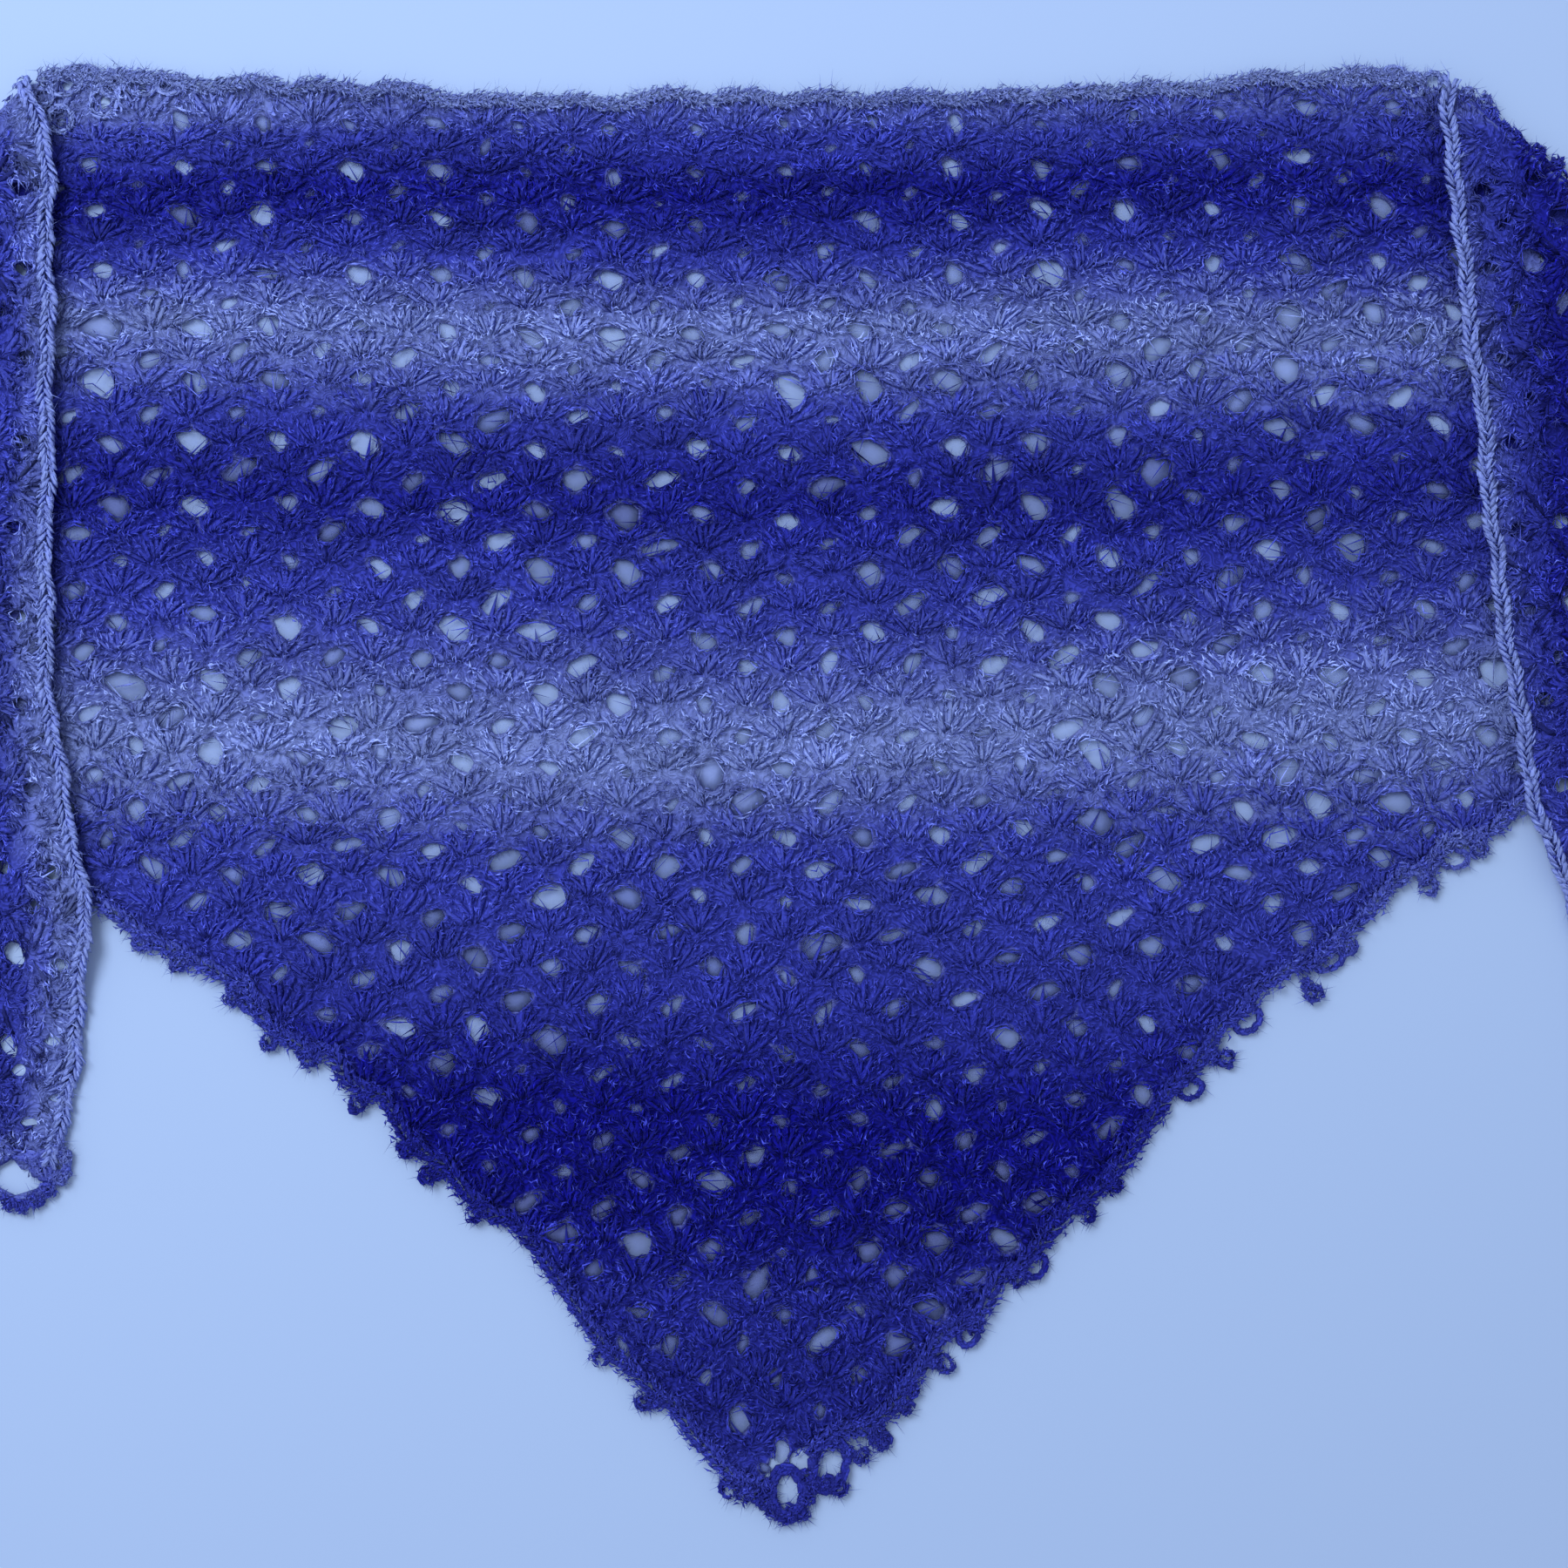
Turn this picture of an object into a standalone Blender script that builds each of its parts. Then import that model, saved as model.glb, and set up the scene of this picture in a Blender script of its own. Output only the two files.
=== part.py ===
"""A triangular crochet shawl, laid flat with both wing ends turned over onto the front.

Everything is laid out in the shawl's own flat cut first: x runs along the long top
edge from the spine, y runs up towards that edge, and the point of the triangle is at
the bottom. The function place() then lays the flat cloth on the surface: what lies
beyond a fold line rolls up over a soft bend and comes to lie back on the body.
Metres, +Z up, z = 0 is the surface that it lies on.
"""

import math

import bmesh
import bpy
import numpy as np

# ---- driving sizes -------------------------------------------------------------
THICK = 0.0040  # crochet cloth, one layer
GAP = 0.0003  # between neighbouring pieces
BEND_IN = 0.0020  # inner radius of a turned corner
BEND_OUT = BEND_IN + THICK
BEND_LENGTH = math.pi * (BEND_IN + THICK / 2)  # cloth used up by a bend
DEPTH = 0.794  # top edge to point

# The two lower edges, outer reach of the trim. Both are a little hollow.
LOWER_EDGE = (
    # left reach, right reach, depth below the top edge
    (1.033, 0.973, 0.000),
    (0.902, 0.847, 0.100),
    (0.764, 0.721, 0.200),
    (0.619, 0.576, 0.300),
    (0.463, 0.420, 0.400),
    (0.313, 0.287, 0.500),
    (0.200, 0.192, 0.600),
    (0.102, 0.097, 0.700),
    (0.044, 0.040, 0.762),
    (0.000, 0.000, DEPTH),
)

# How the long edge lies: it waves a little, and more so on the turned wings.
TOP_LINE = (
    # station along the flat edge, rise above the straight line
    (-1.033, 0.012),
    (-1.000, 0.023),
    (-0.945, 0.032),
    (-0.875, 0.039),
    (-0.820, 0.029),
    (-0.730, 0.018),
    (-0.600, 0.019),
    (-0.480, 0.019),
    (-0.440, 0.015),
    (-0.414, 0.005),
    (-0.388, 0.006),
    (-0.350, 0.005),
    (-0.200, -0.003),
    (0.000, -0.004),
    (0.190, 0.000),
    (0.315, 0.008),
    (0.360, 0.008),
    (0.385, 0.015),
    (0.430, 0.016),
    (0.460, 0.019),
    (0.550, 0.0235),
    (0.650, 0.031),
    (0.760, 0.032),
    (0.850, 0.014),
    (0.973, 0.004),
)

# The two turned corners: where the fold crosses the top edge, and its slope down.
FOLD = {
    # side: (corner x, corner y, angle below the horizontal)
    "left": (-0.414, -0.004, math.radians(45.0)),
    "right": (0.355, 0.003, math.radians(40.0)),
}

COLUMN = 0.0240  # stations along x, shared by the panels and their trims
TOP_TRIM = 0.0085  # depth of the chain row along the top edge
SCALLOP_PITCH = 2 * COLUMN
SCALLOP_RISE = {"body": 0.0060, "wing": 0.0022}
PICOT_TRIM = 0.0165  # depth of the picot row, measured down the cloth
PICOT_PITCH = COLUMN
PICOT_RISE = 0.0075

RIPPLE = 0.0008  # the body's upper face rolls by this much
LIFT_AT_FOLD_REACH = 0.050  # a turned wing comes down to the body over this length
CURL_RISE = 0.0025  # the turned wings' free edge stands up a little
CURL_REACH = 0.030
STEP_START = 0.020  # a wing keeps the body's height this far past its edge
STEP_END = 0.060  # and lies on the surface from here on

# ---- cloth colours (linear), from light to dark ---------------------------------
LAVENDER = (0.22, 0.24, 0.52)
BLUE_VIOLET = (0.06, 0.06, 0.36)
INDIGO = (0.025, 0.018, 0.17)


def clear_scene():
    for item in list(bpy.data.objects):
        bpy.data.objects.remove(item, do_unlink=True)


def cloth_material(name, colour):
    material = bpy.data.materials.new(name)
    material.use_nodes = True
    shader = material.node_tree.nodes["Principled BSDF"]
    shader.inputs["Base Color"].default_value = (*colour, 1.0)
    shader.inputs["Roughness"].default_value = 0.95
    shader.inputs["Metallic"].default_value = 0.0
    return material


# ---- curves through the short tables ---------------------------------------------
def through(stations, values, x):
    """A smooth curve through a table's rows that doesn't overshoot them."""
    stations, values = np.asarray(stations), np.asarray(values)
    order = np.argsort(stations)
    stations, values = stations[order], values[order]
    steps, rises = np.diff(stations), np.diff(values)
    slopes = rises / steps
    tangents = np.empty(len(stations))
    tangents[0], tangents[-1] = slopes[0], slopes[-1]
    same_way = slopes[:-1] * slopes[1:] > 0
    tangents[1:-1] = np.where(
        same_way,
        2 * slopes[:-1] * slopes[1:] / np.where(same_way, slopes[:-1] + slopes[1:], 1),
        0,
    )
    i = int(np.clip(np.searchsorted(stations, x) - 1, 0, len(steps) - 1))
    t = (x - stations[i]) / steps[i]
    if t < 0 or t > 1:  # straight on past either end
        end = 0 if t < 0 else -1
        return float(values[end] + tangents[end] * (x - stations[end]))
    h = steps[i]
    return float(
        (2 * t**3 - 3 * t**2 + 1) * values[i]
        + (t**3 - 2 * t**2 + t) * h * tangents[i]
        + (3 * t**2 - 2 * t**3) * values[i + 1]
        + (t**3 - t**2) * h * tangents[i + 1]
    )


def low_line(x):
    """y of the lower edge's outermost reach."""
    reach = [row[0 if x < 0 else 1] for row in LOWER_EDGE]
    return -through(reach, [row[2] for row in LOWER_EDGE], abs(x))


def low_outer(x):
    """The picot row's outer side: bobbles, with the cloth drawn in between them."""
    between = 1 - abs(math.sin(math.pi * x / PICOT_PITCH)) ** 0.7
    tip = LOWER_EDGE[0][0 if x < 0 else 1]
    near_point = smooth_step(2 * abs(x) / PICOT_PITCH - 1)
    near_tip = smooth_step((tip - abs(x)) / (3 * PICOT_PITCH))
    return low_line(x) + PICOT_RISE * between * near_point * near_tip


def on_columns(line, x):
    """A line's chord between the shared stations, where two pieces meet along it."""
    start = math.floor(x / COLUMN) * COLUMN
    share = (x - start) / COLUMN
    return (1 - share) * line(start) + share * line(start + COLUMN)


def low_inner(x):
    return on_columns(low_line, x) + PICOT_TRIM


def top_line(x):
    return through([row[0] for row in TOP_LINE], [row[1] for row in TOP_LINE], x)


def on_wing(x):
    return x < FOLD["left"][0] or x > FOLD["right"][0]


def top_outer(x):
    rise = SCALLOP_RISE["wing" if on_wing(x) else "body"]
    return top_line(x) + rise * abs(math.sin(math.pi * x / SCALLOP_PITCH)) ** 0.8


def top_inner(x):
    return on_columns(top_line, x) - TOP_TRIM


# ---- the folds -------------------------------------------------------------------
def fold_frame(side):
    """(corner, direction down the fold, direction out into the flat wing)."""
    x, y, angle = FOLD[side]
    way = -1.0 if side == "left" else 1.0
    along = np.array([way * math.cos(angle), -math.sin(angle)])
    out = np.array([way * math.sin(angle), math.cos(angle)])
    return np.array([x, y]), along, out


def beyond_fold(side, x, y):
    """How far a flat point lies past the fold line, into the wing."""
    corner, _, out = fold_frame(side)
    return float((np.array([x, y]) - corner) @ out)


def fold_y(side, x, past=0.0):
    """y of the line that runs at this distance past the fold."""
    corner, along, out = fold_frame(side)
    start = corner + out * past
    return float(start[1] + along[1] / along[0] * (x - start[0]))


def smooth_step(t):
    t = min(max(t, 0.0), 1.0)
    return t * t * (3 - 2 * t)


def ripple(x, y):
    return (
        RIPPLE
        * 0.5
        * (1 + 0.6 * math.sin(x / 0.047 + y / 0.11) + 0.4 * math.sin(y / 0.039 - 1.1))
    )


def edge_distance(x, y):
    """Rough distance from a placed point down past the body's lower edge."""
    slope = (low_line(x + 0.01) - low_line(x - 0.01)) / 0.02
    return (low_line(x) - y) / math.hypot(1, slope)


def support(x, y):
    """Height that a wing lies at: on the body, and past its lower edge on the surface."""
    past = (edge_distance(x, y) - STEP_START) / (STEP_END - STEP_START)
    return (THICK + RIPPLE + GAP) * (1 - smooth_step(past))


def place(x, y, h):
    """Lays a flat point of the cloth, h above its underside, on the surface."""
    side = "left" if x < 0 else "right"
    past = beyond_fold(side, x, y)
    if past <= 0:
        return np.array([x, y, h + ripple(x, y) * h / THICK])
    corner, along, out = fold_frame(side)
    foot = np.array([x, y]) - out * past
    if past < BEND_LENGTH:
        turn = past / BEND_LENGTH * math.pi
        radius = BEND_OUT - h
        flat = foot + out * radius * math.sin(turn)
        return np.array([*flat, BEND_OUT - radius * math.cos(turn)])
    back = past - BEND_LENGTH
    flat = foot - out * back
    at_fold = 2 * BEND_OUT - THICK - (THICK + RIPPLE + GAP)
    lift = at_fold * (1 - smooth_step(back / LIFT_AT_FOLD_REACH))
    free = 1 - min(max((top_line(x) - y) / CURL_REACH, 0.0), 1.0)
    rest = support(*flat)
    held = smooth_step(rest / THICK)
    return np.array([*flat, rest + lift + CURL_RISE * free**2 * held + THICK - h])


# ---- solids ----------------------------------------------------------------------
def closed_wall(name, columns, material):
    """A wall through columns of (lower point, upper point) pairs, one list a column."""
    mesh = bmesh.new()
    made = []
    for column in columns:
        under, over = [], []
        for low, high in column:
            under.append(mesh.verts.new(low))
            over.append(mesh.verts.new(high))
        made.append((under, over))

    def face(*corners):
        kept = [v for i, v in enumerate(corners) if v is not corners[i - 1]]
        if len(set(kept)) > 2:
            mesh.faces.new(kept)

    # A column that has run out to a point keeps only its first pair.
    made = [
        (
            (under[:1] * len(under), over[:1] * len(over))
            if (under[0].co - under[-1].co).length < 1e-5
            else (under, over)
        )
        for under, over in made
    ]
    for (under, over), (next_under, next_over) in zip(made, made[1:]):
        for j in range(len(under) - 1):
            face(under[j], next_under[j], next_under[j + 1], under[j + 1])
            face(over[j], over[j + 1], next_over[j + 1], next_over[j])
        face(under[0], over[0], next_over[0], next_under[0])
        face(under[-1], next_under[-1], next_over[-1], over[-1])
    for (under, over), end in ((made[0], 0), (made[-1], 1)):
        for j in range(len(under) - 1):
            corners = (under[j], under[j + 1], over[j + 1], over[j])
            face(*(corners[::-1] if end else corners))
    bmesh.ops.delete(
        mesh, geom=[v for v in mesh.verts if not v.link_faces], context="VERTS"
    )
    bmesh.ops.recalc_face_normals(mesh, faces=mesh.faces)
    if mesh.calc_volume(signed=True) < 0:
        bmesh.ops.reverse_faces(mesh, faces=mesh.faces)
    data = bpy.data.meshes.new(name)
    mesh.to_mesh(data)
    mesh.free()
    data.materials.append(material)
    data.shade_smooth()
    data.set_sharp_from_angle(angle=math.radians(50))
    thing = bpy.data.objects.new(name, data)
    bpy.context.scene.collection.objects.link(thing)
    return thing


def sliced(name, stations, lower, upper, rows, material):
    """A piece of cloth between two lines of the flat cut, sliced along x."""
    columns = []
    for x in stations:
        low, high = lower(x), upper(x)
        if high < low:
            low = high = (low + high) / 2
        ys = [low + (high - low) * j / rows for j in range(rows + 1)]
        columns.append([(place(x, y, 0.0), place(x, y, THICK)) for y in ys])
    return closed_wall(name, columns, material)


def crossing(first, second, start, end):
    """Where first - second changes sign between two stations."""
    a = first(start) - second(start)
    for _ in range(60):
        middle = (start + end) / 2
        if ((first(middle) - second(middle)) > 0) == (a > 0):
            start = middle
        else:
            end = middle
    return (start + end) / 2


def spaced(start, end, step, *corners):
    """Stations a step apart on a fixed grid, with both ends and any corners."""
    low, high = min(start, end), max(start, end)
    grid = [i * step for i in range(math.ceil(low / step), math.floor(high / step) + 1)]
    marks = [low, high, *[c for c in corners if low < c < high]]
    grid = [g for g in grid if min(abs(g - m) for m in marks) > step * 0.05]
    return sorted(marks + grid)


def build():
    clear_scene()
    light = cloth_material("lavender_yarn", LAVENDER)
    middle = cloth_material("blue_violet_yarn", BLUE_VIOLET)
    dark = cloth_material("indigo_yarn", INDIGO)

    half = GAP / 2
    tuck = GAP  # kept clear on each side of a bend

    def fold_start(side, x):
        return fold_y(side, x, -tuck)

    def fold_end(side, x):
        return fold_y(side, x, BEND_LENGTH + tuck)

    def slope_gap(line, x):
        """A gap's height where the line that it follows is steep."""
        slope = (line(x + 0.002) - line(x - 0.002)) / 0.004
        return half * math.hypot(1, slope)

    def body_top(x):
        found = top_inner(x) - half
        for side in FOLD:
            if (x < 0) == (side == "left"):
                found = min(found, fold_start(side, x))
        return found

    def body_low(x):
        return low_inner(x) + slope_gap(low_inner, x)

    pieces = []

    # Body: out to both fold lines above, and to the picot row below.
    left_end = crossing(body_top, body_low, -0.60, -0.72)
    right_end = crossing(body_top, body_low, 0.58, 0.72)
    shoulders = [
        crossing(
            lambda x: top_inner(x) - half,
            lambda x, side=side: fold_start(side, x),
            FOLD[side][0] * 0.9,
            FOLD[side][0] * 1.2,
        )
        for side in FOLD
    ]
    stations = spaced(left_end, right_end, COLUMN, *shoulders)
    pieces.append(sliced("body_panel", stations, body_low, body_top, 10, middle))

    # Chain row along the top edge of the body.
    def row_top(x):
        found = top_outer(x)
        side = "left" if x < 0 else "right"
        return min(found, fold_start(side, x))

    def row_low(x):
        return top_inner(x) + half

    ends = [
        crossing(row_top, row_low, FOLD[side][0] / 2, FOLD[side][0] * 1.06)
        for side in FOLD
    ]
    pieces.append(
        sliced(
            "top_edging",
            spaced(*ends, SCALLOP_PITCH / 6),
            row_low,
            row_top,
            1,
            light,
        )
    )

    for side, way in (("left", -1), ("right", 1)):
        corner_x = FOLD[side][0]
        tip_x = way * LOWER_EDGE[0][0 if side == "left" else 1]

        # Picot row on the body: from the point to the fold.
        def trim_top(x, side=side):
            return min(low_inner(x) - slope_gap(low_inner, x), fold_start(side, x))

        outer_end = crossing(
            trim_top, low_outer, corner_x * 1.25, corner_x * 1.25 + way * 0.22
        )
        pieces.append(
            sliced(
                f"picot_edging_{side}",
                spaced(way * half, outer_end, PICOT_PITCH / 5),
                low_outer,
                trim_top,
                1,
                dark,
            )
        )

        # The line where the two trims meet on the way out to the wing's tip.
        def between(x):
            return (top_inner(x) * PICOT_TRIM + low_inner(x) * TOP_TRIM) / (
                PICOT_TRIM + TOP_TRIM
            )

        # Wing: from the end of the bend out to the tip, between the two trims.
        def wing_low(x, side=side):
            return max(body_low(x), fold_end(side, x))

        def wing_top(x):
            return top_inner(x) - half

        near = crossing(wing_top, wing_low, tip_x * 0.72, corner_x * 0.96)
        far = crossing(wing_top, wing_low, tip_x * 0.72, tip_x * 1.02)
        pieces.append(
            sliced(
                f"wing_{side}",
                spaced(near, far, COLUMN),
                wing_low,
                wing_top,
                9,
                middle,
            )
        )

        # Chain row along the wing's turned edge.
        def edge_low(x, side=side):
            return max(
                top_inner(x) + half,
                between(x) + half if low_inner(x) > top_inner(x) else -9.0,
                fold_end(side, x),
            )

        near = crossing(top_outer, edge_low, tip_x * 0.72, corner_x * 0.96)
        far = crossing(top_outer, edge_low, tip_x * 0.72, tip_x * 1.05)
        far = way * min(abs(far), abs(tip_x) + 0.004)
        pieces.append(
            sliced(
                f"wing_chain_{side}",
                spaced(near, far, SCALLOP_PITCH / 4),
                edge_low,
                top_outer,
                1,
                light,
            )
        )

        # Picot row along the wing's lower edge.
        def hem_low(x, side=side):
            return max(low_outer(x), fold_end(side, x))

        def hem_top(x):
            found = low_inner(x) - slope_gap(low_inner, x)
            if low_inner(x) > top_inner(x):
                found = min(found, between(x) - half)
            return found

        near = crossing(hem_top, hem_low, tip_x * 0.8, corner_x * 1.2)
        far = tip_x - way * 0.006
        pieces.append(
            sliced(
                f"wing_picot_{side}",
                spaced(near, far, PICOT_PITCH / 4),
                hem_low,
                hem_top,
                1,
                dark,
            )
        )

        # The turned corner itself, rolled from the body up onto the wing.
        corner, along, out = fold_frame(side)

        def at(a, s):
            return corner + along * a + out * s

        def meets(line, s, start, end):
            return crossing(
                lambda a: at(a, s)[1], lambda a: line(at(a, s)[0]), start, end
            )

        rolled, turns, lengths = [], 8, 14
        for k in range(turns + 1):
            s = tuck + (BEND_LENGTH - 2 * tuck) * k / turns
            first = meets(top_outer, s, -0.03, 0.08)
            last = meets(low_outer, s, 0.25, 0.50)
            column = []
            for j in range(lengths + 1):
                x, y = at(first + (last - first) * j / lengths, s)
                column.append((place(x, y, 0.0), place(x, y, THICK)))
            rolled.append(column)
        pieces.append(closed_wall(f"fold_{side}", rolled, middle))

    # The origin goes under the middle of the whole laid shawl.
    corners = np.array([v.co[:] for thing in pieces for v in thing.data.vertices])
    low, high = corners.min(axis=0), corners.max(axis=0)
    middle_x, middle_y = (low[0] + high[0]) / 2, (low[1] + high[1]) / 2
    shawl = bpy.data.objects.new("shawl", None)
    bpy.context.scene.collection.objects.link(shawl)
    for thing in pieces:
        for v in thing.data.vertices:
            v.co.x -= middle_x
            v.co.y -= middle_y
            v.co.z -= low[2]
        thing.parent = shawl
    print(f"spine at x {-middle_x:.5f}, top line at y {-middle_y:.5f}")


build()
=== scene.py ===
import math

import bpy
import numpy as np
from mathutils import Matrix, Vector
from mathutils.geometry import delaunay_2d_cdt


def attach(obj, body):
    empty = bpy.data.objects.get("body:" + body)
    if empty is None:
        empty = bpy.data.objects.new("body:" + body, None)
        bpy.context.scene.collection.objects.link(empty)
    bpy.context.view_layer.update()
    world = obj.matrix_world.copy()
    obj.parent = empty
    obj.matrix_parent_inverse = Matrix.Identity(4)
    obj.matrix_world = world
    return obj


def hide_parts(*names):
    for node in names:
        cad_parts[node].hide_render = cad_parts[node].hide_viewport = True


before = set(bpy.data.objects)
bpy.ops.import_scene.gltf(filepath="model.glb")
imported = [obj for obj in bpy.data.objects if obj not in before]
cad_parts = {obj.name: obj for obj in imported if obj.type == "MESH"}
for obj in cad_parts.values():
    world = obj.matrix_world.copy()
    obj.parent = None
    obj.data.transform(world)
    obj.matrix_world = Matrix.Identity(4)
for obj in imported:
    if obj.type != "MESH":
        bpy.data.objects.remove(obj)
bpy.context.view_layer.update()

# ---------------------------------------------------------------------------
# The flat cut and how it lies, with the part's own sizes, in metres.
# Flat coordinates: x from the spine, y from the top line, w up from the face
# that rests, towards the face that shows.
# ---------------------------------------------------------------------------
THICK = 0.0040
GAP = 0.0003
BEND_IN = 0.0020
BEND_OUT = BEND_IN + THICK
BEND_LENGTH = math.pi * (BEND_IN + THICK / 2)
SHIFT = (0.00932, 0.38995)
LOWER_EDGE = (
    (1.033, 0.973, 0.000),
    (0.902, 0.847, 0.100),
    (0.764, 0.721, 0.200),
    (0.619, 0.576, 0.300),
    (0.463, 0.420, 0.400),
    (0.313, 0.287, 0.500),
    (0.200, 0.192, 0.600),
    (0.102, 0.097, 0.700),
    (0.044, 0.040, 0.762),
    (0.000, 0.000, 0.794),
)
TOP_LINE = (
    (-1.033, 0.012), (-1.000, 0.023), (-0.945, 0.032), (-0.875, 0.039),
    (-0.820, 0.029), (-0.730, 0.018), (-0.600, 0.019), (-0.480, 0.019),
    (-0.440, 0.015), (-0.414, 0.005), (-0.388, 0.006), (-0.350, 0.005),
    (-0.200, -0.003), (0.000, -0.004), (0.190, 0.000), (0.315, 0.008),
    (0.360, 0.008), (0.385, 0.015), (0.430, 0.016), (0.460, 0.019),
    (0.550, 0.0235), (0.650, 0.031), (0.760, 0.032), (0.850, 0.014),
    (0.973, 0.004),
)
TIP = {-1: 1.033, 1: 0.973}
FOLD = {-1: (-0.414, -0.004, math.radians(45)), 1: (0.355, 0.003, math.radians(40))}
RIPPLE = 0.0008
LIFT_AT_FOLD_REACH = 0.050
CURL_RISE = 0.0025
CURL_REACH = 0.030
STEP_START = 0.020
STEP_END = 0.060


def smooth_step(t):
    t = np.clip(t, 0.0, 1.0)
    return t * t * (3 - 2 * t)


class Through:
    """A smooth curve through a table's rows that doesn't overshoot them."""

    def __init__(self, stations, values):
        stations, values = np.asarray(stations, float), np.asarray(values, float)
        order = np.argsort(stations)
        self.x, self.v = stations[order], values[order]
        self.steps = np.diff(self.x)
        slopes = np.diff(self.v) / self.steps
        self.m = np.empty(len(self.x))
        self.m[0], self.m[-1] = slopes[0], slopes[-1]
        same = slopes[:-1] * slopes[1:] > 0
        self.m[1:-1] = np.where(
            same,
            2 * slopes[:-1] * slopes[1:] / np.where(same, slopes[:-1] + slopes[1:], 1),
            0,
        )

    def __call__(self, x):
        x = np.asarray(x, float)
        i = np.clip(np.searchsorted(self.x, x) - 1, 0, len(self.steps) - 1)
        h = self.steps[i]
        t = (x - self.x[i]) / h
        inside = (
            (2 * t**3 - 3 * t**2 + 1) * self.v[i]
            + (t**3 - 2 * t**2 + t) * h * self.m[i]
            + (3 * t**2 - 2 * t**3) * self.v[i + 1]
            + (t**3 - t**2) * h * self.m[i + 1]
        )
        before = self.v[0] + self.m[0] * (x - self.x[0])
        after = self.v[-1] + self.m[-1] * (x - self.x[-1])
        return np.where(t < 0, before, np.where(t > 1, after, inside))


_low = {
    side: Through([r[0 if side < 0 else 1] for r in LOWER_EDGE], [r[2] for r in LOWER_EDGE])
    for side in (-1, 1)
}
_top = Through([r[0] for r in TOP_LINE], [r[1] for r in TOP_LINE])


def low_line(x):
    x = np.asarray(x, float)
    return -np.where(x < 0, _low[-1](np.abs(x)), _low[1](np.abs(x)))


def top_line(x):
    return _top(x)


# How far the hem's cord runs outside the smooth lower edge, in mm, by the
# distance from the spine in mm: left, then right. It goes in uneven steps.
HEM_STEPS = {
    -1: (
        (0, -25), (7, -22), (11, -9), (15, -2), (24, 0), (36, 1), (48, -2), (60, -6), (72, -2), (84, -2),
        (96, 1), (108, 0), (120, -5), (132, -8), (144, -9), (152, -11), (162, -5), (174, -2),
        (186, -7), (198, -3), (210, -2), (221, -11), (231, -5), (240, -3), (250, -9), (262, -1),
        (276, 2), (288, 2), (297, -6), (312, -2), (324, -1), (336, 2), (350, 5), (366, 3), (420, 0),
    ),
    1: (
        (0, -25), (9, -21), (16, -18), (26, -17), (36, -9), (44, -4), (56, 0), (70, -3), (84, -7),
        (96, -3), (110, -1), (120, -6), (134, -1), (146, -2), (156, -5), (170, 0), (184, 1),
        (198, -5), (212, -8), (226, -6), (240, -11), (252, -6), (260, -10), (270, -8), (280, -6),
        (292, 0), (304, -3), (316, -2), (328, -6), (342, -10), (354, -2), (366, -9), (378, -1),
        (390, 0), (402, -4), (440, 0),
    ),
}
# The picots that stand out: distance from the spine and reach past the smooth edge.
HEM_KNOBS = {
    -1: ((78, 6), (101, 7), (174, 2), (198, 5), (211, 2), (238, 3), (264, 3), (282, 9), (306, 4), (334, 7), (353, 9)),
    1: ((44, 4), (54, 7), (90, 5), (108, 3), (132, 2), (168, 5), (183, 5), (246, 3), (288, 11), (312, 4), (356, 5), (384, 5)),
}
HEM_LOOPS = {
    -1: ((297, -4),),
    1: ((104, 0), (140, 1), (229, -3), (262, -6), (302, 0), (372, -3)),
}


def hem_run(x):
    x = np.asarray(x, float)
    a = np.abs(x) * 1000
    left, right = HEM_STEPS[-1], HEM_STEPS[1]
    on_left = np.interp(a, [r[0] for r in left], [r[1] for r in left])
    on_right = np.interp(a, [r[0] for r in right], [r[1] for r in right])
    return np.where(x < 0, on_left - 1.6, on_right - 4.2 * np.clip(a / 40, 0, 1)) * 0.001


def edge_distance(x, y):
    """How far a point of the flat cut is past the lower edge."""
    slope = (low_line(x + 0.01) - low_line(x - 0.01)) / 0.02
    return (low_line(x) - y) / np.hypot(1, slope)


def frame_of(side):
    cx, cy, a = FOLD[side]
    along = np.array([side * math.cos(a), -math.sin(a)])
    out = np.array([side * math.sin(a), math.cos(a)])
    return np.array([cx, cy]), along, out


def past_fold(x, y, side):
    corner, _, out = frame_of(side)
    return (x - corner[0]) * out[0] + (y - corner[1]) * out[1]


def support_height(x, y):
    """How high a turned wing lies: on the body, and past its lower edge on the floor."""
    past = (edge_distance(x, y) - STEP_START) / (STEP_END - STEP_START)
    return (THICK + RIPPLE + GAP) * (1 - smooth_step(past))


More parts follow.
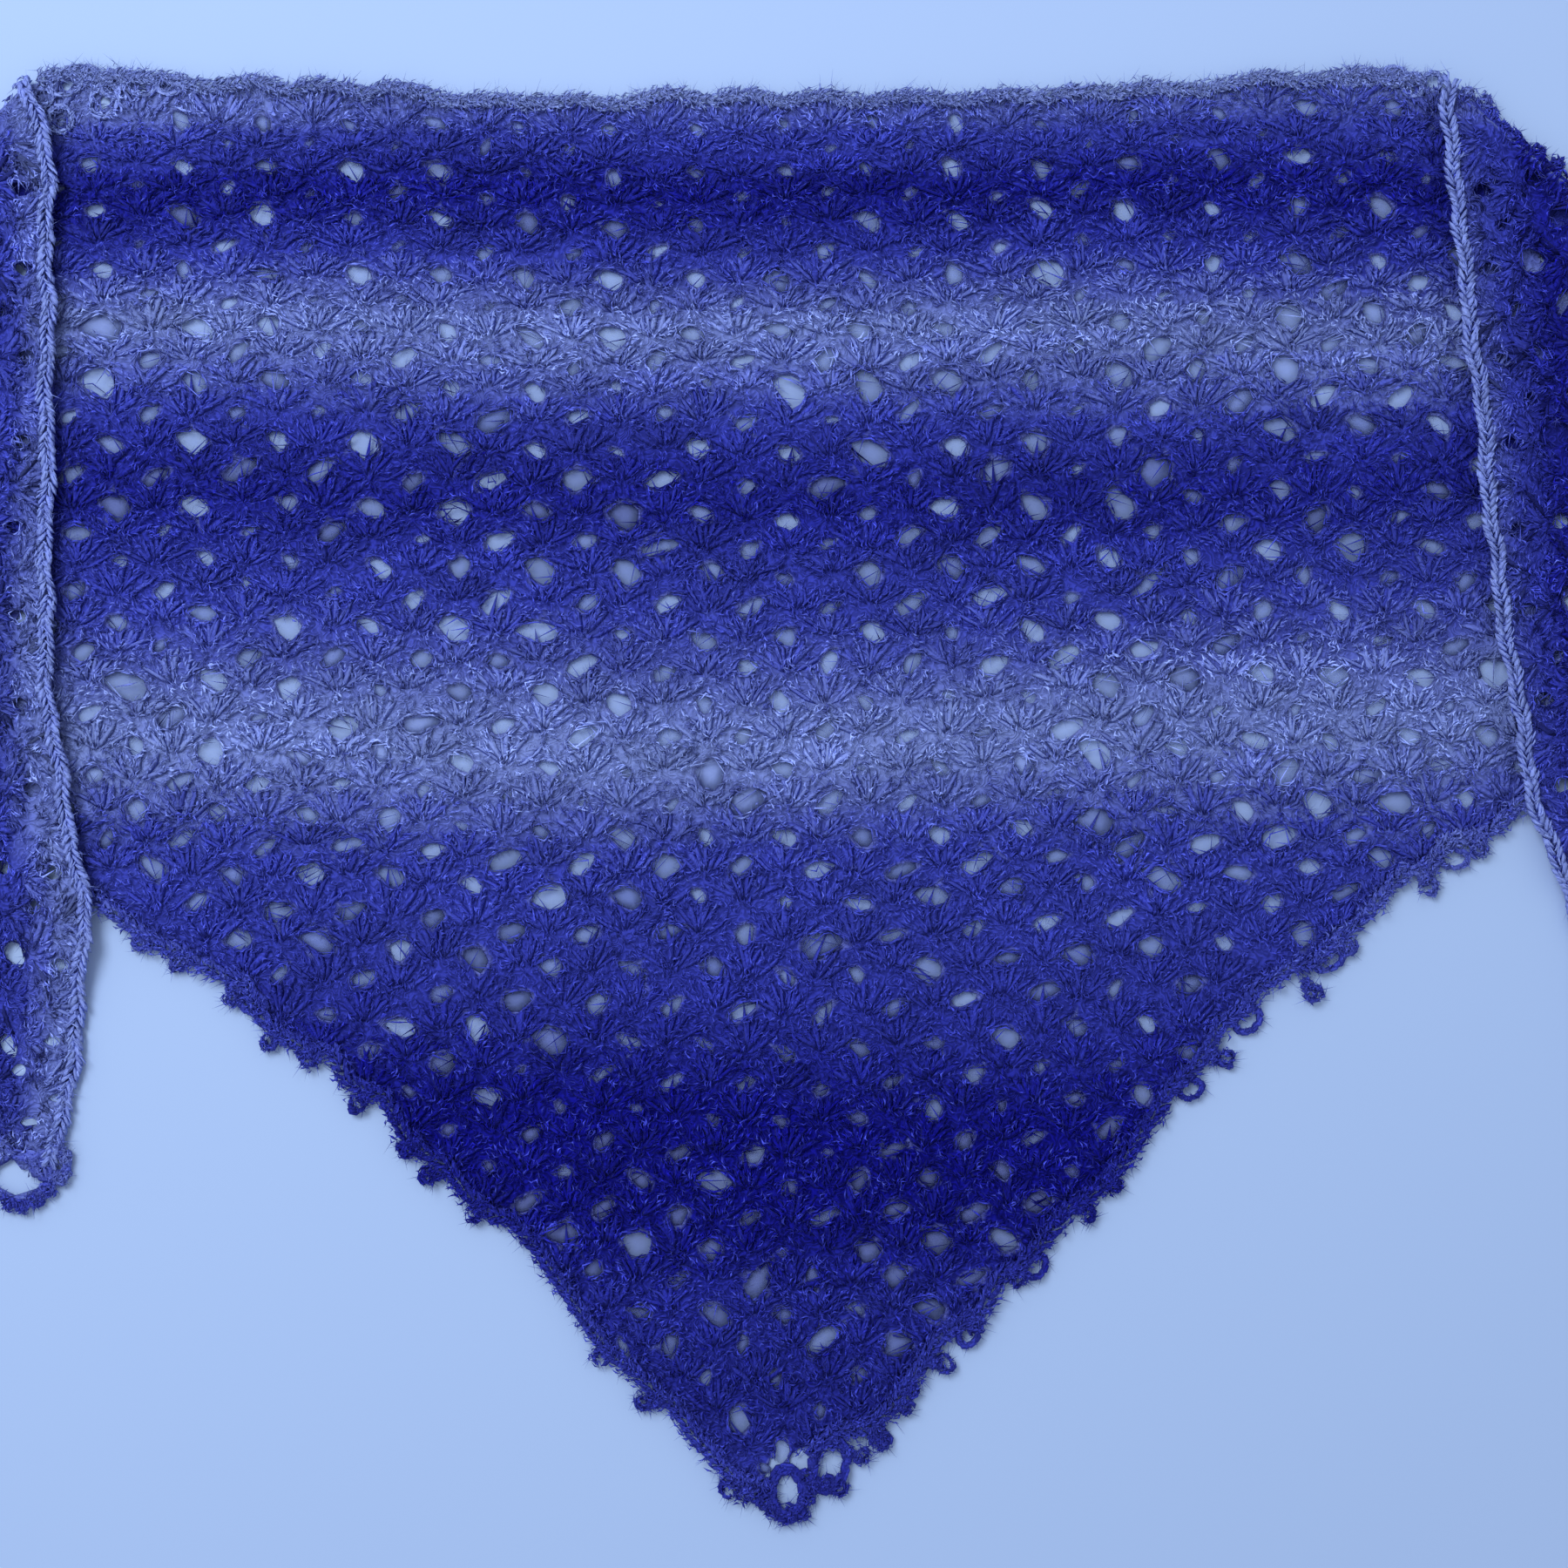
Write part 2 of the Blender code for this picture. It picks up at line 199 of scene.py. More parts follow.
def place(x, y, w, body):
    """Flat points to the laid shawl. body says whether a point is on the body's
    upper face or on the face that the bends and the wings turn up."""
    x, y, w = (np.asarray(v, float) for v in (x, y, w))
    X, Y, Z = x.copy(), y.copy(), w.copy()
    ripple = RIPPLE * 0.5 * (
        1 + 0.6 * np.sin(x / 0.047 + y / 0.11) + 0.4 * np.sin(y / 0.039 - 1.1)
    )
    Z = w + ripple * w / THICK
    for side in (-1, 1):
        corner, along, out = frame_of(side)
        past = past_fold(x, y, side)
        mine = (past > 0) & ((x < 0) if side < 0 else (x >= 0))
        if not body:
            mine = (past > -0.03) & ((x < 0) if side < 0 else (x >= 0)) & True
        if body:
            mine = mine & (past > 1e9)
        if not mine.any():
            continue
        p = np.maximum(past[mine], 0)
        fx, fy = x[mine] - out[0] * past[mine], y[mine] - out[1] * past[mine]
        ww = w[mine]
        turn = np.clip(p / BEND_LENGTH, 0, 1) * math.pi
        ww = np.where(
            turn < 1.2, np.minimum(ww, BEND_OUT / np.cos(np.minimum(turn, 1.2)) - BEND_IN - 0.0001), ww
        )
        radius = BEND_IN + ww
        bx, by = fx + out[0] * radius * np.sin(turn), fy + out[1] * radius * np.sin(turn)
        bz = BEND_OUT - radius * np.cos(turn)
        back = np.maximum(p - BEND_LENGTH, 0)
        sx, sy = fx - out[0] * back, fy - out[1] * back
        at_fold = 2 * BEND_OUT - THICK - (THICK + RIPPLE + GAP)
        rest = support_height(sx, sy)
        lift = at_fold * (1 - smooth_step(back / LIFT_AT_FOLD_REACH))
        free = 1 - np.clip((top_line(x[mine]) - y[mine]) / CURL_REACH, 0, 1)
        held = smooth_step(rest / THICK)
        sz = rest + lift + CURL_RISE * free**2 * held + ww
        on_wing = p > BEND_LENGTH
        X[mine] = np.where(on_wing, sx, bx)
        Y[mine] = np.where(on_wing, sy, by)
        Z[mine] = np.where(on_wing, sz, bz)
    return np.stack([X + SHIFT[0], Y + SHIFT[1], np.maximum(Z, 0.0)], -1)


# ---------------------------------------------------------------------------
# The stitch lattice: rows of holes and of stars, half a repeat out of step in
# each next row. Columns are counted in half repeats.
# ---------------------------------------------------------------------------
PX = 0.00048
ROW_AT = (
    (-1, 104), (0, 146), (2, 198), (4, 256), (6, 322), (8, 384), (10, 447), (12, 519), (14, 593),
    (16, 660), (18, 731), (20, 806), (22, 884), (24, 962), (26, 1035), (28, 1117), (30, 1205),
    (32, 1283), (34, 1361), (36, 1434), (38, 1508), (40, 1582), (42, 1658), (44, 1732), (46, 1806),
)
# The rows bow upwards to both sides: rise in mm by depth (rows) and place across.
BOW_X = (-0.385, -0.290, -0.190, -0.100, 0.0, 0.095, 0.190, 0.287, 0.373)
BOW_DEPTH = (0.026, 0.195, 0.386, 0.580)
BOW = (
    (5.0, 6.0, 1.5, -1.5, 0.0, 2.5, 6.0, 12.0, 12.0),
    (4.5, 6.5, 4.0, 1.0, 0.0, 3.5, 9.0, 14.5, 13.5),
    (12.5, 11.5, 6.0, 1.0, 0.0, 3.5, 10.5, 17.0, 18.5),
    (30.0, 24.0, 13.0, 4.0, 0.0, 4.5, 14.0, 26.0, 33.0),
)
FIRST_ROW, LAST_ROW = -1, 46
HALF = 46
rng = np.random.default_rng(41)


def row_depth(r):
    return (np.interp(np.asarray(r, float), [a for a, _ in ROW_AT], [b for _, b in ROW_AT]) - 95) * PX


def column_x(u, depth):
    """Across, for half-repeat count 2u: closer together lower down."""
    wide = np.interp(depth, (0.026, 0.098, 0.195, 0.290, 0.386, 0.482, 0.578, 0.674, 0.78),
                     (1.063, 1.053, 1.034, 1.009, 0.975, 0.935, 0.912, 0.895, 0.885))
    flat = u * 2 * 46.6 * PX
    return flat * wide - 0.10 * np.clip(depth, 0, 0.48) / 0.48 * flat * flat * np.exp(-(flat / 0.55) ** 4)


def bow(x, depth):
    parts = [np.interp(x, BOW_X, row) for row in BOW]
    at = np.clip(np.interp(depth, BOW_DEPTH, (0, 1, 2, 3)), 0, 3)
    i = np.minimum(np.floor(at).astype(int), 2)
    f = at - i
    stack = np.stack(np.broadcast_arrays(*parts))
    a = np.take_along_axis(stack, i[None], 0)[0]
    b = np.take_along_axis(stack, i[None] + 1, 0)[0]
    return (a * (1 - f) + b * f) * 0.001


rows = np.arange(FIRST_ROW, LAST_ROW + 1)
cols = np.arange(-HALF, HALF + 1)
RR, CC = np.meshgrid(rows, cols, indexing="ij")
DD = row_depth(RR)
NX = column_x(CC / 2, DD)
on_wing_share = np.zeros(NX.shape)
for _side in (-1, 1):
    _cx, _cy, _a = FOLD[_side]
    _past = (NX - _cx) * _side * math.sin(_a) + (-DD - _cy) * math.cos(_a)
    on_wing_share = np.where(NX * _side > 0, smooth_step((_past + 0.03) / 0.06), on_wing_share)
_body_y = -DD + bow(NX, DD)
_wing_y = -DD + top_line(np.clip(NX, -1.02, 0.96)) + 0.005 * smooth_step(DD / 0.012)
NY = _body_y * (1 - on_wing_share) + _wing_y * on_wing_share
NX = NX + 0.0016 * np.sin(NY / 0.061 + NX / 0.21) + 0.0010 * np.sin(NY / 0.017 + NX * 9)
NY = NY + 0.0012 * np.sin(NX / 0.083 + 1.3) * np.cos(NY / 0.19) + 0.0012 * np.sin(NX / 0.031 - NY / 0.05)
NX = NX + rng.normal(0, 0.0016, NX.shape)
NY = NY + rng.normal(0, 0.0012, NY.shape)
IS_HOLE = (RR + CC) % 2 == 0

HOLE_BY_ROW = {-1: 0.0, 0: 0.80, 1: 0.42, 2: 0.80, 3: 0.60, 4: 0.84, 5: 0.62, 6: 0.92, 7: 0.74, 31: 0.8, 32: 0.75, 33: 0.75, 34: 0.8}
hole_scale = np.array([HOLE_BY_ROW.get(int(r), 1.0) for r in rows])[:, None] * np.ones_like(NX)
hole_scale = hole_scale * np.clip(rng.normal(0.98, 0.20, NX.shape), 0.50, 1.36)
hole_scale[rng.random(NX.shape) < 0.07] *= 0.6
hole_scale = np.where((np.abs(NX) < 0.07) & (NY < -0.69), hole_scale * 1.25, hole_scale)
slit = (on_wing_share > 0.5) & (RR == 0)  # the tall slits beside a wing's chain
EVEN = RR % 2 == 0
on_wing_scale = 1 + 0.22 * on_wing_share
hole_wide = np.where(EVEN, 0.0086, 0.0087) * on_wing_scale * hole_scale * np.clip(rng.normal(1.0, 0.13, NX.shape), 0.7, 1.35)
hole_tall = np.where(EVEN, 0.0067, 0.0054) * on_wing_scale * hole_scale * np.clip(rng.normal(1.0, 0.15, NX.shape), 0.65, 1.4)
hole_wide = np.where(slit, 0.0042, hole_wide)
hole_tall = np.where(slit, 0.0062, hole_tall)
# the rows are worked to and fro, so the holes lean and taper to the left and right by turns
lean = np.radians(np.where(EVEN, -24, 27) + rng.normal(0, 13, NX.shape))
lean = np.where(slit, 0.0, lean)
hole_tip = np.where(EVEN, math.pi, 0.0)
hole_wave = rng.uniform(0, 2 * math.pi, NX.shape)  # each hole's own unevenness
hole_clear = np.clip(rng.normal(0.84, 0.08, NX.shape), 0.60, 0.98)


def inside_cut(x, y):
    """Distance to the nearest edge of the flat cut, positive inside."""
    return np.minimum(-edge_distance(x, y) + hem_run(x), top_line(x) - y)


IN = inside_cut(NX, NY)
PAST = {s: past_fold(NX, NY, s) for s in (-1, 1)}
SIDE = np.where(NX < 0, -1, 1)
PAST_OWN = np.where(NX < 0, PAST[-1], PAST[1])
fold_clear = np.minimum(np.abs(PAST_OWN), np.abs(PAST_OWN - BEND_LENGTH))
open_hole = (
    IS_HOLE
    & (IN > hole_tall + 0.0056)
    & (hole_scale > 0.33)
    & ((PAST_OWN < -hole_tall - 0.002) | (PAST_OWN > BEND_LENGTH + hole_tall + 0.002))
)


def unfold(px, py, side):
    """The flat point of a wing that is seen at this pixel."""
    x = CAM[0] + (px - 900) * (CAM[2] - 0.008) / (1800 * 50 / 36) - SHIFT[0]
    y = CAM[1] - (py - 900) * (CAM[2] - 0.008) / (1800 * 50 / 36) - SHIFT[1]
    _, _, out = frame_of(side)
    past = BEND_LENGTH - past_fold(x, y, side)
    return x + out[0] * (2 * past - BEND_LENGTH), y + out[1] * (2 * past - BEND_LENGTH)


CAM = (0.0084, 0.0036, 0.864 * 50 / 36 + 0.003)
# Larger openings, by their place in the picture: across, down, half width, half height, lean
OPENINGS = (
    (76, 96, 10, 6, 20), (120, 115, 8, 12, -25), (163, 98, 9, 6, 0), (129, 96, 5, 8, -30), (70, 137, 7, 8, 0),
    (1600, 88, 7, 6, 0), (1622, 98, 6, 6, 0), (1574, 90, 5, 4, 0),
    (850, 1628, 15, 19, 0), (898, 1664, 11, 15, 5), (890, 1582, 9, 12, 10), (986, 1578, 11, 10, -10),
    (809, 1579, 8, 13, 10), (941, 1619, 8, 9, 0), (878, 1686, 9, 6, -20), (769, 1541, 11, 18, 0),
    (715, 1547, 6, 14, 25), (853, 1541, 8, 13, 0), (933, 1465, 9, 16, 15), (680, 1456, 13, 11, 35),
)
WING_OPENINGS = (
    (19, 1344, 14, 21, 0), (52, 1336, 7, 10, 0), (57, 1196, 7, 10, 0), (18, 1230, 8, 9, 0), (30, 1290, 8, 10, 0),
    (62, 1262, 6, 9, 0),
)
extra = [((a - 902) * PX, -(b - 95) * PX, c * PX, d * PX, math.radians(e)) for a, b, c, d, e in OPENINGS]
for a, b, c, d, e in WING_OPENINGS:
    u, v = unfold(a, b, -1)
    extra.append((u, v, c * PX, d * PX, math.radians(e)))
extra = np.array(extra)
for ex in extra:  # they take the place of the holes beside them
    open_hole &= np.hypot(NX - ex[0], NY - ex[1]) > 0.012 + ex[3] * 0.4
extra_wave = np.random.default_rng(55).uniform(0, 2 * math.pi, len(extra))
extra_tip = np.full(len(extra), -math.pi / 2)
hole_wide = np.where(open_hole, hole_wide, hole_wide * 0.2)
hole_tall = np.where(open_hole, hole_tall, hole_tall * 0.2)


def lobe(s, at, wide):
    d = np.angle(np.exp(1j * (s - at)))
    return np.exp(-((d / wide) ** 2))


def hole_shape(s, wave, tip):
    """A hole's outline about its middle: a drawn-out tip, and a blunt point down."""
    low = np.where(np.cos(tip) < 0, -1.05, -2.09)
    return 0.90 + 0.30 * lobe(s, tip, 0.42) + 0.24 * lobe(s, low, 0.50) + 0.07 * np.cos(2 * s + wave) + 0.05 * np.cos(5 * s + 2.3 * wave)


def hole_ring(cx, cy, a, b, tilt, turn, grow, wave, tip):
    r = grow * hole_shape(turn, wave, tip)
    u, v = a * r * np.cos(turn), b * r * np.sin(turn)
    return cx + u * np.cos(tilt) - v * np.sin(tilt), cy + u * np.sin(tilt) + v * np.cos(tilt)


# ---------------------------------------------------------------------------
# Colour along the rows: 0 is dark indigo, 0.5 blue-violet and 1 light
# lavender. It belongs to a row of stitches, and drifts a little along it.
# ---------------------------------------------------------------------------
BAND = (
    (60, 0.93), (108, 0.86), (140, 0.60), (180, 0.36), (220, 0.08), (260, 0.18), (300, 0.46),
    (345, 0.72), (380, 0.96), (430, 0.76), (480, 0.50), (530, 0.25), (580, 0.16),
    (640, 0.37), (700, 0.51), (760, 0.66), (810, 0.90), (860, 1.00), (920, 0.78),
    (980, 0.52), (1080, 0.43), (1180, 0.30), (1240, 0.14), (1290, 0.02), (1350, 0.02), (1400, 0.05), (1500, 0.24),
    (1600, 0.22), (1700, 0.34), (1800, 0.40),
)
_band = Through([b[0] for b in BAND], [b[1] for b in BAND])


def edge_depth(x, y):
    """Depth below the long edge, which rises on the turned parts."""
    x = np.asarray(x, float)
    turned = smooth_step((np.abs(x + 0.0285) - 0.385) / 0.05)
    shift = np.where(x > 0, 0.014, np.interp(-x, (0.60, 0.86), (0.003, -0.014)))
    return np.clip(-np.asarray(y) + turned * (shift + top_line(np.clip(x, -1.02, 0.96))), -0.01, 0.9)


def tone_at(depth, x):
    px = 95 + depth / PX
    drift = 9 * np.sin(x / 0.17 + px / 140) + 7 * np.sin(x / 0.071 + 2.0 + px / 90)
    return np.clip(_band(np.clip(px + drift, 60, 1800)), 0, 1)


# ---------------------------------------------------------------------------
# Meshes
# ---------------------------------------------------------------------------
def new_mesh(name, verts, faces, colour, smooth=True):
    """faces: list of (k, n) index arrays."""
    me = bpy.data.meshes.new(name)
    verts = np.asarray(verts, np.float32)
    me.vertices.add(len(verts))
    me.vertices.foreach_set("co", verts.ravel())
    loops = np.concatenate([f.ravel() for f in faces]).astype(np.int32)
    sizes = np.concatenate([np.full(len(f), f.shape[1]) for f in faces])
    me.loops.add(len(loops))
    me.loops.foreach_set("vertex_index", loops)
    me.polygons.add(len(sizes))
    starts = np.concatenate([[0], np.cumsum(sizes)[:-1]]).astype(np.int32)
    me.polygons.foreach_set("loop_start", starts)
    me.polygons.foreach_set("use_smooth", np.full(len(sizes), smooth))
    me.update(calc_edges=True)
    me.validate(verbose=False)
    layer = me.color_attributes.new("yarn", "FLOAT_COLOR", "POINT")
    layer.data.foreach_set("color", np.asarray(colour, np.float32).ravel())
    ob = bpy.data.objects.new(name, me)
    bpy.context.scene.collection.objects.link(ob)
    return ob


class Strands:
    """Many tapered yarn strands, gathered by piece."""

    def __init__(self):
        self.lines, self.radii, self.tints = {}, {}, {}

    def add(self, key, line, radius, tint):
        """line (n, k, 3) in flat x, y, w; radius (n,) ; tint (n, 4): tone, light, chance, painted shade"""
        if len(line) == 0:
            return
        self.lines.setdefault((key, line.shape[1]), []).append(line)
        self.radii.setdefault((key, line.shape[1]), []).append(np.broadcast_to(radius, (len(line),)))
        self.tints.setdefault((key, line.shape[1]), []).append(tint)


PROFILE = {
    3: np.array([0.0, 1.0, 0.0]),
    4: np.array([0.0, 1.0, 0.94, 0.0]),
    5: np.array([0.0, 0.78, 1.0, 0.72, 0.0]),
    6: np.array([0.0, 0.8, 1.0, 0.95, 0.7, 0.0]),
    7: np.array([0.0, 0.75, 1.0, 1.0, 0.95, 0.7, 0.0]),
    9: np.array([0.0, 0.8, 1.0, 1.0, 1.0, 1.0, 1.0, 0.8, 0.0]),
}


def tube_mesh(line, radius, tint, placed, offset, sides=3):
    """Closed tapered tubes along (n, k, 3) lines: vertices, faces and colours."""
    n, k, _ = line.shape
    tangent = np.empty_like(line)
    tangent[:, 1:-1] = line[:, 2:] - line[:, :-2]
    tangent[:, 0] = line[:, 1] - line[:, 0]
    tangent[:, -1] = line[:, -1] - line[:, -2]
    tangent /= np.maximum(np.linalg.norm(tangent, axis=-1, keepdims=True), 1e-9)
    up = np.array([0.0, 0.0, 1.0])
    across = np.cross(tangent, up)
    norm = np.linalg.norm(across, axis=-1, keepdims=True)
    across = np.where(norm > 1e-3, across / np.maximum(norm, 1e-9), np.array([1.0, 0, 0]))
    over = np.cross(across, tangent)
    profile = PROFILE[k]
    inner = line[:, 1:-1]
    ring = []
    spin = (np.arange(n) * 2.399) % (2 * math.pi)
    for s in range(sides):
        angle = (spin + 2 * math.pi * s / sides)[:, None, None]
        r = (radius[:, None] * profile[1:-1][None, :])[..., None]
        ring.append(inner + r * (np.cos(angle) * across[:, 1:-1] + np.sin(angle) * over[:, 1:-1]))
    ring = np.stack(ring, 2)  # n, k-2, sides, 3
    m = k - 2
    verts = np.concatenate([ring.reshape(n, m * sides, 3), line[:, :1], line[:, -1:]], 1)
    per = m * sides + 2
    quads = []
    for i in range(m - 1):
        for s in range(sides):
            t = (s + 1) % sides
            quads.append([i * sides + s, i * sides + t, (i + 1) * sides + t, (i + 1) * sides + s])
    tris = []
    for s in range(sides):
        t = (s + 1) % sides
        tris.append([m * sides, t, s])
        tris.append([m * sides + 1, (m - 1) * sides + s, (m - 1) * sides + t])
    base = (np.arange(n) * per)[:, None, None] + offset
    quads = (base + np.array(quads, int).reshape(-1, 4)[None]).reshape(-1, 4)
    tris = (base + np.array(tris)[None]).reshape(-1, 3)
    flat = verts.reshape(-1, 3)
    colour = np.repeat(tint, per, 0)
    return flat, quads, tris, colour


def needle_mesh(root, tip, width, tint, offset):
    """Closed four-sided hairs: a small root triangle drawn to a point."""
    n = len(root)
    d = tip - root
    length = np.maximum(np.linalg.norm(d, axis=1, keepdims=True), 1e-6)
    d = d / length
    helper = np.where(np.abs(d[:, 2:3]) > 0.9, np.array([[1.0, 0, 0]]), np.array([[0, 0, 1.0]]))
    a = np.cross(d, helper)
    a /= np.linalg.norm(a, axis=1, keepdims=True)
    b = np.cross(d, a)
    w = (width / 2)[:, None]
    corners = [root + w * (math.cos(t) * a + math.sin(t) * b) for t in (0.3, 2.394, 4.489)]
    verts = np.stack([*corners, tip], 1).reshape(-1, 3)
    base = (np.arange(n) * 4)[:, None, None] + offset
    tris = (base + np.array([[0, 1, 2], [0, 3, 1], [1, 3, 2], [2, 3, 0]])[None]).reshape(-1, 3)
    return verts, tris, np.repeat(tint, 4, 0)


strands = Strands()

# ---------------------------------------------------------------------------
# Where each star is: on the body, or on a bend or wing, or under a wing
# ---------------------------------------------------------------------------
def covered(x, y, margin):
    """Is this body point under a turned wing, by more than margin?"""
    hidden = np.zeros(np.shape(x), bool)
    for side in (-1, 1):
        _, _, out = frame_of(side)
        past = past_fold(x, y, side)
        away = -2 * past + BEND_LENGTH
        qx, qy = x + out[0] * away, y + out[1] * away
        limit = TIP[side] - 0.004
        inside = np.minimum(top_line(np.clip(qx, -1.02, 0.96)) - qy, (qy - low_line(qx)) * 0.8)
        hidden |= (past < 0) & (inside > margin) & (np.abs(qx) < limit) & (np.sign(qx) == side)
    return hidden


def avoid_holes(line, grow):
    """Push strand points out of the open holes near them."""
    x, y = line[..., 0], line[..., 1]
    g = np.broadcast_to(np.asarray(grow)[:, None], x.shape)
    depth = np.clip(-y + bow(x, np.clip(-y, 0.0, 0.8)), -0.02, 0.85)
    side_share = np.where((x < -0.43) | (x > 0.37), 1.0, 0.0)
    depth = np.where(side_share > 0, np.clip(-y + top_line(np.clip(x, -1.02, 0.96)) + 0.005, -0.02, 0.85), depth)
    r_guess = np.clip(np.searchsorted(row_depth(rows), depth) - 1, 0, len(rows) - 1)
    x_new, y_new = x.copy(), y.copy()
    cx = np.clip(np.round(x / (46.6 * PX)) + HALF, 0, 2 * HALF).astype(int)
    for _ in range(4):
        err = x - NX[r_guess, cx]
        cx = np.clip(cx + np.round(err / 0.0225).astype(int), 0, 2 * HALF)

    def clear(px, py, a, b, tl, wv, tp, is_open):
        nonlocal x_new, y_new
        dx, dy = x_new - px, y_new - py
        u = dx * np.cos(tl) + dy * np.sin(tl)
        v = -dx * np.sin(tl) + dy * np.cos(tl)
        s = np.arctan2(v / b, u / a)
        rho = np.sqrt((u / a) ** 2 + (v / b) ** 2) / (hole_shape(s, wv, tp) * g)
        inside = is_open & (rho < 1.0)
        push = np.where(inside, 1.0 / np.maximum(rho, 0.12), 1.0)
        u2, v2 = u * push, v * push
        x_new = np.where(inside, px + u2 * np.cos(tl) - v2 * np.sin(tl), x_new)
        y_new = np.where(inside, py + u2 * np.sin(tl) + v2 * np.cos(tl), y_new)

    for dr in (-2, -1, 0, 1, 2):
        rr = np.clip(r_guess + dr, 0, len(rows) - 1)
        for dc in (-1, 0, 1):
            cc = np.clip(cx + dc, 0, 2 * HALF)
            clear(NX[rr, cc], NY[rr, cc], hole_wide[rr, cc], hole_tall[rr, cc], lean[rr, cc], hole_wave[rr, cc], hole_tip[rr, cc], open_hole[rr, cc])
    for ex, wv in zip(extra, extra_wave):
        near = np.hypot(x_new - ex[0], y_new - ex[1]) < 0.03
        if near.any():
            clear(ex[0], ex[1], ex[2], ex[3], ex[4], wv, -math.pi / 2, near)
    out = line.copy()
    out[..., 0], out[..., 1] = x_new, y_new
    return out


star = (~IS_HOLE) & (IN > -0.022) & (RR >= 0) & (RR < LAST_ROW) & (np.abs(CC) < HALF)
on_turned = star & (PAST_OWN > -0.012)
on_body = star & (PAST_OWN <= 0.006) & ~covered(NX, NY - 0.004, 0.020)
STAR_DROP = 0.0034


SPINDLE = np.array([-1.0, -0.42, 0.42, 1.0])
ARC = np.array([-1.0, -0.6, 0.0, 0.6, 1.0])


def within_cut(line, low_margin, top_margin):
    """Which strands keep inside the cut by these margins, at their middle and ends."""
    good = np.ones(len(line), bool)
    for i in (0, line.shape[1] // 2, -1):
        x, y = line[:, i, 0], line[:, i, 1]
        good &= (-edge_distance(x, y) + hem_run(x) > low_margin) & (top_line(x) - y > top_margin)
        good &= (x > -1.022) & (x < 0.962)
    return good


# The long edge's scallops between the turned corners, where it was read along the
# edge: place across and rise above the smooth line, both in mm.
SCALLOPS = (
    (-420, 0), (-405, 4), (-389, 6), (-379, 2), (-369, 5), (-359, 3), (-349, 4), (-329, 1), (-314, 0),
    (-294, 5), (-274, 1), (-254, 6), (-229, 2), (-222, 6), (-204, 4), (-184, -2), (-159, 0),
    (-134, -2), (-112, 0), (-92, -3), (-64, 5), (-44, -1), (-24, 4), (-4, -1), (21, 3), (41, -2),
    (64, 2), (96, -2), (121, 2), (138, -1), (161, 2), (181, 0), (199, 3), (231, -1), (246, 2),
    (266, 4), (281, -1), (316, 3), (328, 0), (338, 2), (351, -3), (362, -5), (380, -4),
)


def scallop_top(x):
    x = np.asarray(x, float)
    rise = np.interp(x * 1000, [r[0] for r in SCALLOPS], [r[1] for r in SCALLOPS]) * 0.001
    turned = (x < -0.418) | (x > 0.372)
    return top_line(x) + np.where(turned, 0.0004, rise - 0.0033)


POSTS = 4
FLECKS = 98


def tufts(x, y):
    """Fields that vary over a few millimetres, so that neighbouring hairs lie
    together in small curls."""
    a = np.sin(x / 0.00207 + 2.6 * np.sin(y / 0.0031 + x / 0.011)) + 0.7 * np.sin(y / 0.00163 + 2.1 * np.sin(x / 0.0039))
    b = np.sin(y / 0.00231 + 2.2 * np.sin(x / 0.0027 + 1.3)) * np.cos(x / 0.0029 + y / 0.0071 + 0.4)
    c = np.sin(x / 0.0041 + 2.4 * np.sin(y / 0.0063 + 0.7)) * np.cos(y / 0.0036 + 1.7 * np.sin(x / 0.0088 + 2.0))
    return a, b, c


def hollows(x, y):
    """Uneven hollows, some millimetres across, 0 to 1, where the yarn gets painted shade."""
    a = np.sin(x / 0.0033 + 1.9 * np.sin(y / 0.0093 + 0.6)) * np.sin(y / 0.0029 + 1.7 * np.sin(x / 0.0088 + 1.1))
    b = np.sin(x / 0.0131 + 2.2 * np.sin(y / 0.0172)) * np.sin(y / 0.0117 + 2.0)
    return smooth_step((a + 0.45 * b - 0.26) / 0.34)


